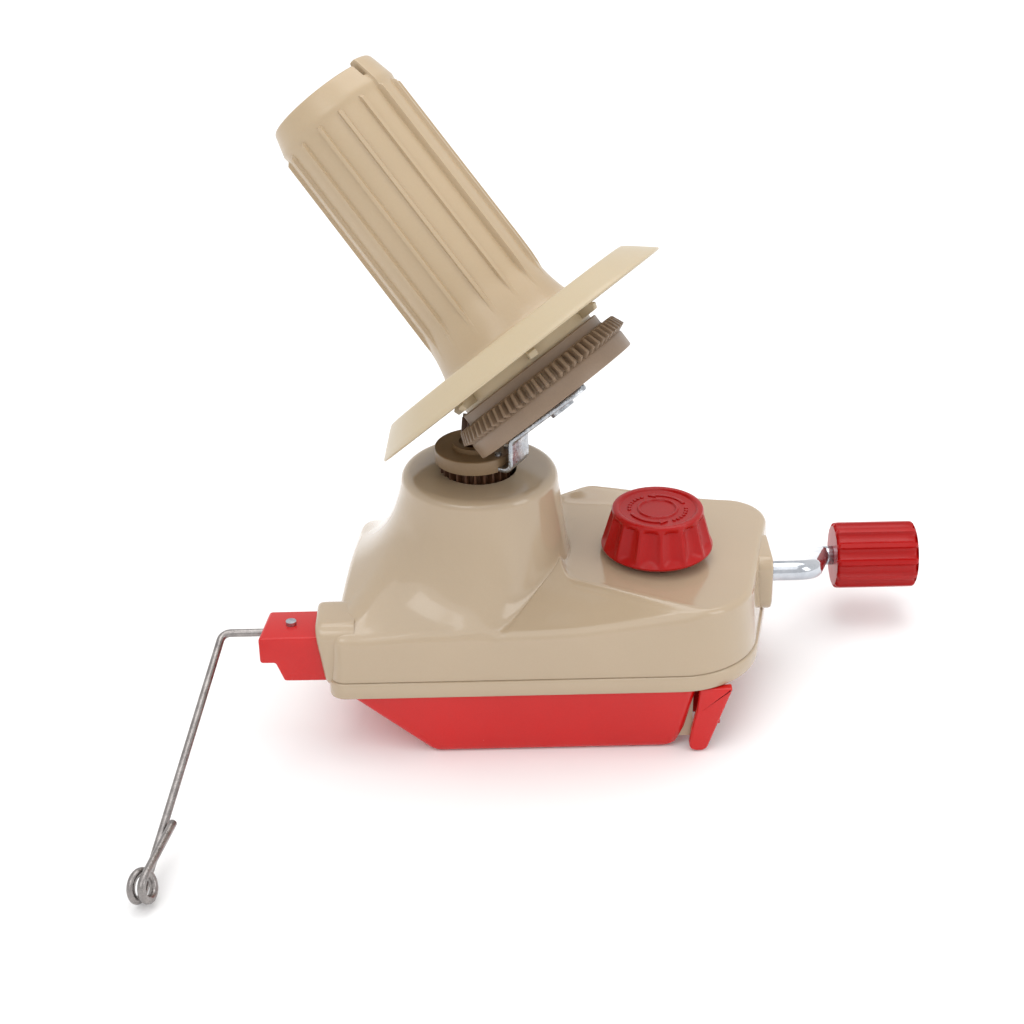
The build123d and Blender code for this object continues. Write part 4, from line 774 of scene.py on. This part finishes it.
def handle_grip():
    """The fluted grip, with a shallow recess at its outer end."""
    place = Place((HANDLE_X, *handle_origin[1:]), (1, 0, 0), (0, 0, 1))
    profile = [(3.3, 0.0), (HANDLE_R - 2.6, 0.0), (HANDLE_R - 1.5, 0.05), (HANDLE_R - 0.9, 0.3),
               (HANDLE_R - 0.25, 0.9), (HANDLE_R, 1.8)]
    profile += [(HANDLE_R, 1.8 + (HANDLE_LENGTH - 3.6) * k / 8) for k in range(1, 9)]
    profile += [(HANDLE_R - 0.25, HANDLE_LENGTH - 0.9), (HANDLE_R - 0.9, HANDLE_LENGTH - 0.3),
                (HANDLE_R - 1.5, HANDLE_LENGTH - 0.05), (HANDLE_R - 2.6, HANDLE_LENGTH),
                (6.4, HANDLE_LENGTH), (6.0, HANDLE_LENGTH - 0.4), (6.0, HANDLE_LENGTH - 1.2),
                (3.3, HANDLE_LENGTH - 1.2)]
    return turned(profile, place, HANDLE_FLUTES * 24, handle_radius, looped=True)


build("crank_arm", *crank_rod(), "crank", "chrome_steel", chrome_steel, ["crank_rod"])
build("handle_grip", *handle_grip(), "handle", "red_plastic", red_gloss, ["crank_handle"], 40)

# ================================================================ yarn guide
WIRE_R, BEND_R, EYE_R, EYE_PITCH, EYE_TURNS, TAIL = 1.4, 3.6, 4.8, 4.3, 1.5, 25.0
EYE, EYE_AXIS = np.array((-111.5, -120.5, 6.8)), np.array((0.866, -0.44, 0.24))
ARM_STEPS, COIL_STEPS, TAIL_STEPS = 30, 48, 12
holder_low, holder_high = node_box("guide_holder")


def guide_wire():
    """The wire: out of the holder, round the bend, down the arm, a turn and a half of eyelet and the tail."""
    arm_dir = unit(EYE - guide_origin)
    eye_axis = unit(EYE_AXIS - arm_dir * EYE_AXIS.dot(arm_dir))
    side_dir = unit(np.cross(eye_axis, arm_dir))
    start = np.array((holder_low[0] + 13.0, guide_origin[1], guide_origin[2]))
    coil = []
    for k in range(COIL_STEPS + 1):
        angle = 2 * pi * EYE_TURNS * k / COIL_STEPS
        coil.append(EYE + (arm_dir * sin(angle) + side_dir * cos(angle)) * EYE_R
                    + eye_axis * EYE_PITCH * angle / (2 * pi))
    tail_end = EYE - arm_dir * TAIL + eye_axis * 3.6 + side_dir * 3.4
    lead = rounded_path([start, guide_origin, coil[0]], BEND_R, steps=12)
    arm = [lead[-2] + (coil[0] - lead[-2]) * k / ARM_STEPS for k in range(1, ARM_STEPS)]
    tail = [coil[-1] + (tail_end - coil[-1]) * k / TAIL_STEPS for k in range(1, TAIL_STEPS + 1)]
    path = np.vstack([lead[:-1], arm, coil, tail])
    first = len(lead) + ARM_STEPS - 6
    for _ in range(4):
        path[first:-1] = (path[first - 1:-2] + 2 * path[first:-1] + path[first + 1:]) / 4
    return tube(path, WIRE_R, 20)


def guide_holder():
    """The block that holds the wire. Its lower part is shorter, and its left end is cut back at the far
    side."""
    left, right = holder_low[0], holder_high[0]
    middle = guide_origin[2] - HOLDER_DROP
    low, high = middle - HOLDER_HEIGHT / 2, middle + HOLDER_HEIGHT / 2
    step_x, step_z, cut_back = left + 6.8, middle - 1.5, 0.13
    side = rounded_path([(right, low), (right, high), (left, high), (left, step_z), (step_x - 1.4, step_z),
                         (step_x + 1.4, low)], [0, 0, 1.4, 1.2, 1.2, 1.2], closed=True, steps=5)
    place = Place((0, guide_origin[1] + HOLDER_DEPTH / 2, 0), (0, -1, 0), (1, 0, 0))
    points, faces = slab(side, place, 0, HOLDER_DEPTH, 0.9, 0.9, 4)
    far = points[:, 1] - (guide_origin[1] - HOLDER_DEPTH / 2)
    points[:, 0] += cut_back * far * smooth_step(right - 8, left + 6, points[:, 0])
    return points, faces


build("guide_wire_eyelet", *guide_wire(), "guide", "wire_steel", wire_steel, ["guide_wire"])
build("holder_block", *guide_holder(), "housing", "red_plastic", red_plastic, ["guide_holder"])


# ================================================================ bracket of the cone
def bracket_strip():
    """The bent strip, with rounded corners along it and a round end under the cone."""
    out_dir = unit(np.array((-cone_axis[0], -cone_axis[1], 0.0)))
    foot_z = node_box("carrier_bracket")[0][2]
    thick, width, foot_out, leg_at, leg_end = 1.8, 12.5, 17.6, -8.9, 12.0
    leg_mid = cone_origin + cone_axis * leg_at
    mid = np.array((leg_mid.dot(out_dir), leg_mid[2]))
    tilt = acos(cone_axis[2])
    leg = np.array((cos(tilt), sin(tilt)))
    knee = mid - leg * (mid[0] - foot_out) / leg[0]
    level = foot_z + thick / 2
    path = rounded_path([(9.0, level), (foot_out, level), knee, mid + leg * 4.0, mid + leg * leg_end],
                        [0, 3.0, 3.0, 0, 0], steps=8)
    shares = (0.2, 0.45, 0.62, 0.76, 0.87, 0.95, 0.99)
    tail = [path[-2] + (path[-1] - path[-2]) * share for share in shares]
    path = np.vstack([path[:-1], tail, path[-1:]])
    run = np.concatenate([[0], np.cumsum(np.linalg.norm(np.diff(path, axis=0), axis=1))])
    left = run[-1] - run
    across = np.cross(UP, out_dir)
    ahead = np.gradient(path, axis=0)
    ahead /= np.linalg.norm(ahead, axis=1)[:, None]
    rings = []
    for i, point in enumerate(path):
        half = width / 2
        if left[i] < half:
            half = max(sqrt(max(half ** 2 - (half - left[i]) ** 2, 0)), 0.9)
        normal = np.array((-ahead[i][1], ahead[i][0]))
        section = box_outline(2 * half, thick, 0.5, 3)
        centre = out_dir * point[0] + UP * point[1]
        upward = out_dir * normal[0] + UP * normal[1]
        rings.append(centre + section[:, :1] * across + section[:, 1:] * upward)
    return skin(rings)


build("bracket_strip", *bracket_strip(), "carrier", "zinc_steel", zinc_steel, ["carrier_bracket"])


# ================================================================ jaw
jaw_low = node_box("clamp_jaw")[0]
JAW_TOP = SKIRT_Z - 0.3
JAW_HALF, JAW_DRAFT, JAW_WALL, JAW_CORNER, JAW_TOE, JAW_SOFT = 44.6, 3.6, 2.0, 3.4, 6.0, 2.6
JAW_LEFT_TOP, JAW_LEFT_FLAT, JAW_RIGHT_TOP, JAW_RIGHT_FLAT = jaw_low[0], -17.0, 76.8, 71.5
FIN_X, FIN_Y, FIN_LENGTH, FIN_THICK = 73.0, 38.6, 6.8, 3.8
LEG_Y, LEG_THICK = 40.6, 3.6
SIDES = (-1, 1)


def jaw_ring(level, inset):
    """Outline of the tray at one level: sloping left end, drafted sides."""
    share = level / JAW_TOP
    left = JAW_LEFT_FLAT + (JAW_LEFT_TOP - JAW_LEFT_FLAT) * share
    right = JAW_RIGHT_FLAT + (JAW_RIGHT_TOP - JAW_RIGHT_FLAT) * share
    right -= JAW_TOE - sqrt(max(JAW_TOE ** 2 - max(JAW_TOE - level, 0.0) ** 2, 0.0))
    half = JAW_HALF - JAW_DRAFT * (1 - share)
    outline = box_outline(right - left, 2 * half, JAW_CORNER, 8)
    flat = inset_outline(outline, inset) + np.array(((left + right) / 2, 0))
    return np.column_stack([flat, np.full(len(flat), level)])


def jaw_tray():
    """The hollow tray with soft lower edges."""
    rings = []
    for turn in (0, 12, 25, 40, 55, 72, 90):
        rings.append(jaw_ring(JAW_SOFT * (1 - cos(radians(turn))), JAW_SOFT * (1 - sin(radians(turn)))))
    rings += [jaw_ring(level, 0) for level in (9.0, 15.0, 21.0, JAW_TOP - 0.4)]
    rings += [jaw_ring(JAW_TOP, 0.4), jaw_ring(JAW_TOP, JAW_WALL - 0.3), jaw_ring(JAW_TOP - 0.3, JAW_WALL)]
    rings += [jaw_ring(level, JAW_WALL) for level in (18.0, 9.0)]
    rings += [jaw_ring(4.5, JAW_WALL + 0.3), jaw_ring(2.8, JAW_WALL + 1.1)]
    return skin(rings)


def jaw_leg(side):
    """One leg at the crank end, tapering to a round tip."""
    outline = rounded_path([(77.9, JAW_TOP), (77.0, 17.0), (75.4, 9.0), (74.4, 0.4), (80.8, 0.4),
                            (89.6, JAW_TOP)], [0, 4.0, 3.0, 2.6, 3.0, 0.6], closed=True, steps=6)
    place = Place((0, side * LEG_Y, 0), (0, side, 0), (1, 0, 0))
    flat = outline if side < 0 else outline[::-1] * np.array((1, -1))
    return slab(flat, place, 0, LEG_THICK, 0.5, 0.9, 3)


def plain_block(x, y, low, high, width, depth):
    """An upright block with slightly rounded edges."""
    place = Place((x, y, 0), (0, 0, 1), (1, 0, 0))
    return slab(box_outline(width, depth, 0.5, 3), place, low, high, 0.3, 0.3, 2)


def jaw_column():
    """The column that holds the nut, with the hole for the screw."""
    place = Place((knob_origin[0], knob_origin[1] - 0.5, 0), (0, 0, 1), (1, 0, 0))
    outer, top, hole_r = box_outline(16.0, 12.0, 1.5, 6), 45.4, 3.7
    turns = np.arctan2(outer[:, 1], outer[:, 0])
    hole = hole_r * np.column_stack([np.cos(turns), np.sin(turns)]) + np.array((0, 0.5))
    rings = [place.points(np.column_stack([flat, np.full(len(flat), level)]))
             for flat, level in ((outer, 1.5), (outer, top), (hole, top), (hole, 4.0))]
    return skin(rings)


tray_piece = build("jaw_tray", *jaw_tray(), "jaw", "red_plastic", red_plastic, ["clamp_jaw"], 40)
fin_slots = [plain_block(FIN_X, side * FIN_Y, -5.0, JAW_TOP + 5.0, FIN_LENGTH, FIN_THICK) for side in SIDES]
cut_away(tray_piece, *joined(*fin_slots))
ribs = [plain_block(x, 0, 2.9 + max(0.0, (-12.0 - x) * 0.95), JAW_TOP - 0.5, 2.0, 2 * (JAW_HALF - 6.4))
        for x in (-24, -8, 8, 24, 40, 54)]
bumps = [plain_block(x, side * (JAW_HALF - JAW_DRAFT - 2.6), 0.0, 1.6, 3.2, 2.2)
         for x in (-12, -2, 10, 20, 26, 38, 46, 58) for side in SIDES]
links = [plain_block(80.0, side * 32.0, 10.0, JAW_TOP - 0.5, 12.0, 3.0) for side in SIDES]
wall = plain_block(84.6, 0, 10.0, JAW_TOP - 0.3, 2.4, 82.0)
legs = [jaw_leg(side) for side in SIDES]
build("jaw_legs", *joined(*legs, wall, *links), "jaw", "red_plastic", red_plastic)
build("jaw_ribs", *joined(*ribs, *bumps, jaw_column()), "jaw", "red_plastic", red_plastic)

# ================================================================ CAD nodes that stay
SLOT_OF = {
    "casing_cream": ["base_plate"],
    "gear_tan": ["drive_gear", "crank_gear", "crank_bush"],
    "disc_brown": ["carrier_disc"],
    "gear_dark": ["carrier_gear", "fixed_pinion"],
}
for node_name, node in frame["nodes"].items():
    slot_name = next((slot for slot, names in SLOT_OF.items() if node_name in names), "zinc_steel")
    node.data.materials.clear()
    node.data.materials.append(slot_materials[slot_name])


# ================================================================ floor, lights and camera
def axes_matrix(right, up, back, spot):
    """The matrix of an object that stands at a spot, in metres, with the given axes."""
    return Matrix([[right[i], up[i], back[i], spot[i]] for i in range(3)] + [[0, 0, 0, 1]])


def stage_floor():
    """A plain pale floor, twelve metres wide."""
    size = 6000
    corners = [(-size, -size, 0), (size, -size, 0), (size, size, 0), (-size, size, 0)]
    floor = bare_object("floor", corners, [(0, 1, 2, 3)])
    floor.data.materials.append(plain_material("floor_white", (0.93, 0.93, 0.93), 0.75, bump=0.0,
                                               mottle=(2, 0.004), grain=(40, 0.002)))


def area_light(name, spot, aim, size, power):
    """A soft white panel of light, in metres and watts."""
    lamp = bpy.data.lights.new(name, "AREA")
    lamp.shape, lamp.size, lamp.size_y = "RECTANGLE", size[0], size[1]
    lamp.energy = power
    light = linked(name, lamp)
    spot, aim = np.array(spot), np.array(aim)
    back = unit(spot - aim)
    right = unit(np.cross(UP, back))
    light.matrix_world = axes_matrix(right, np.cross(back, right), back, spot)


def studio():
    """A bright white surround, three soft panels and a very soft sun."""
    world = bpy.data.worlds.new("studio")
    bpy.context.scene.world = world
    world.use_nodes = True
    world.node_tree.nodes["Background"].inputs["Color"].default_value = (1, 1, 1, 1)
    world.node_tree.nodes["Background"].inputs["Strength"].default_value = 0.86
    area_light("key", (-0.45, -0.75, 0.95), (0, 0, 0.08), (0.55, 0.4), 1.2)
    area_light("top", (0.15, 0.25, 1.1), (0, 0, 0.1), (0.9, 0.9), 4.6)
    area_light("right", (0.9, -0.5, 0.5), (0, 0, 0.08), (0.4, 0.6), 1.6)
    sun = bpy.data.lights.new("soft_sun", "SUN")
    sun.energy, sun.angle = 0.7, 1.2
    light = linked("soft_sun", sun)
    light.rotation_euler = (radians(25), radians(-15), 0)


def camera():
    """The camera stands in front of the winder and looks down at it."""
    spot, target = np.array((8.0, -605.2, 401.2)) * MM, np.array((12.59, -30.04, 91.92)) * MM
    roll = radians(-0.99)
    forward = unit(target - spot)
    right = unit(np.cross(forward, UP))
    up = np.cross(right, forward)
    right, up = right * cos(roll) + up * sin(roll), up * cos(roll) - right * sin(roll)
    data = bpy.data.cameras.new("camera")
    data.sensor_width, data.lens = 36.0, 66.93
    eye = linked("camera", data)
    eye.matrix_world = axes_matrix(right, up, -forward, spot)
    bpy.context.scene.camera = eye


stage_floor()
studio()
camera()
bpy.context.scene.view_settings.view_transform = "Standard"
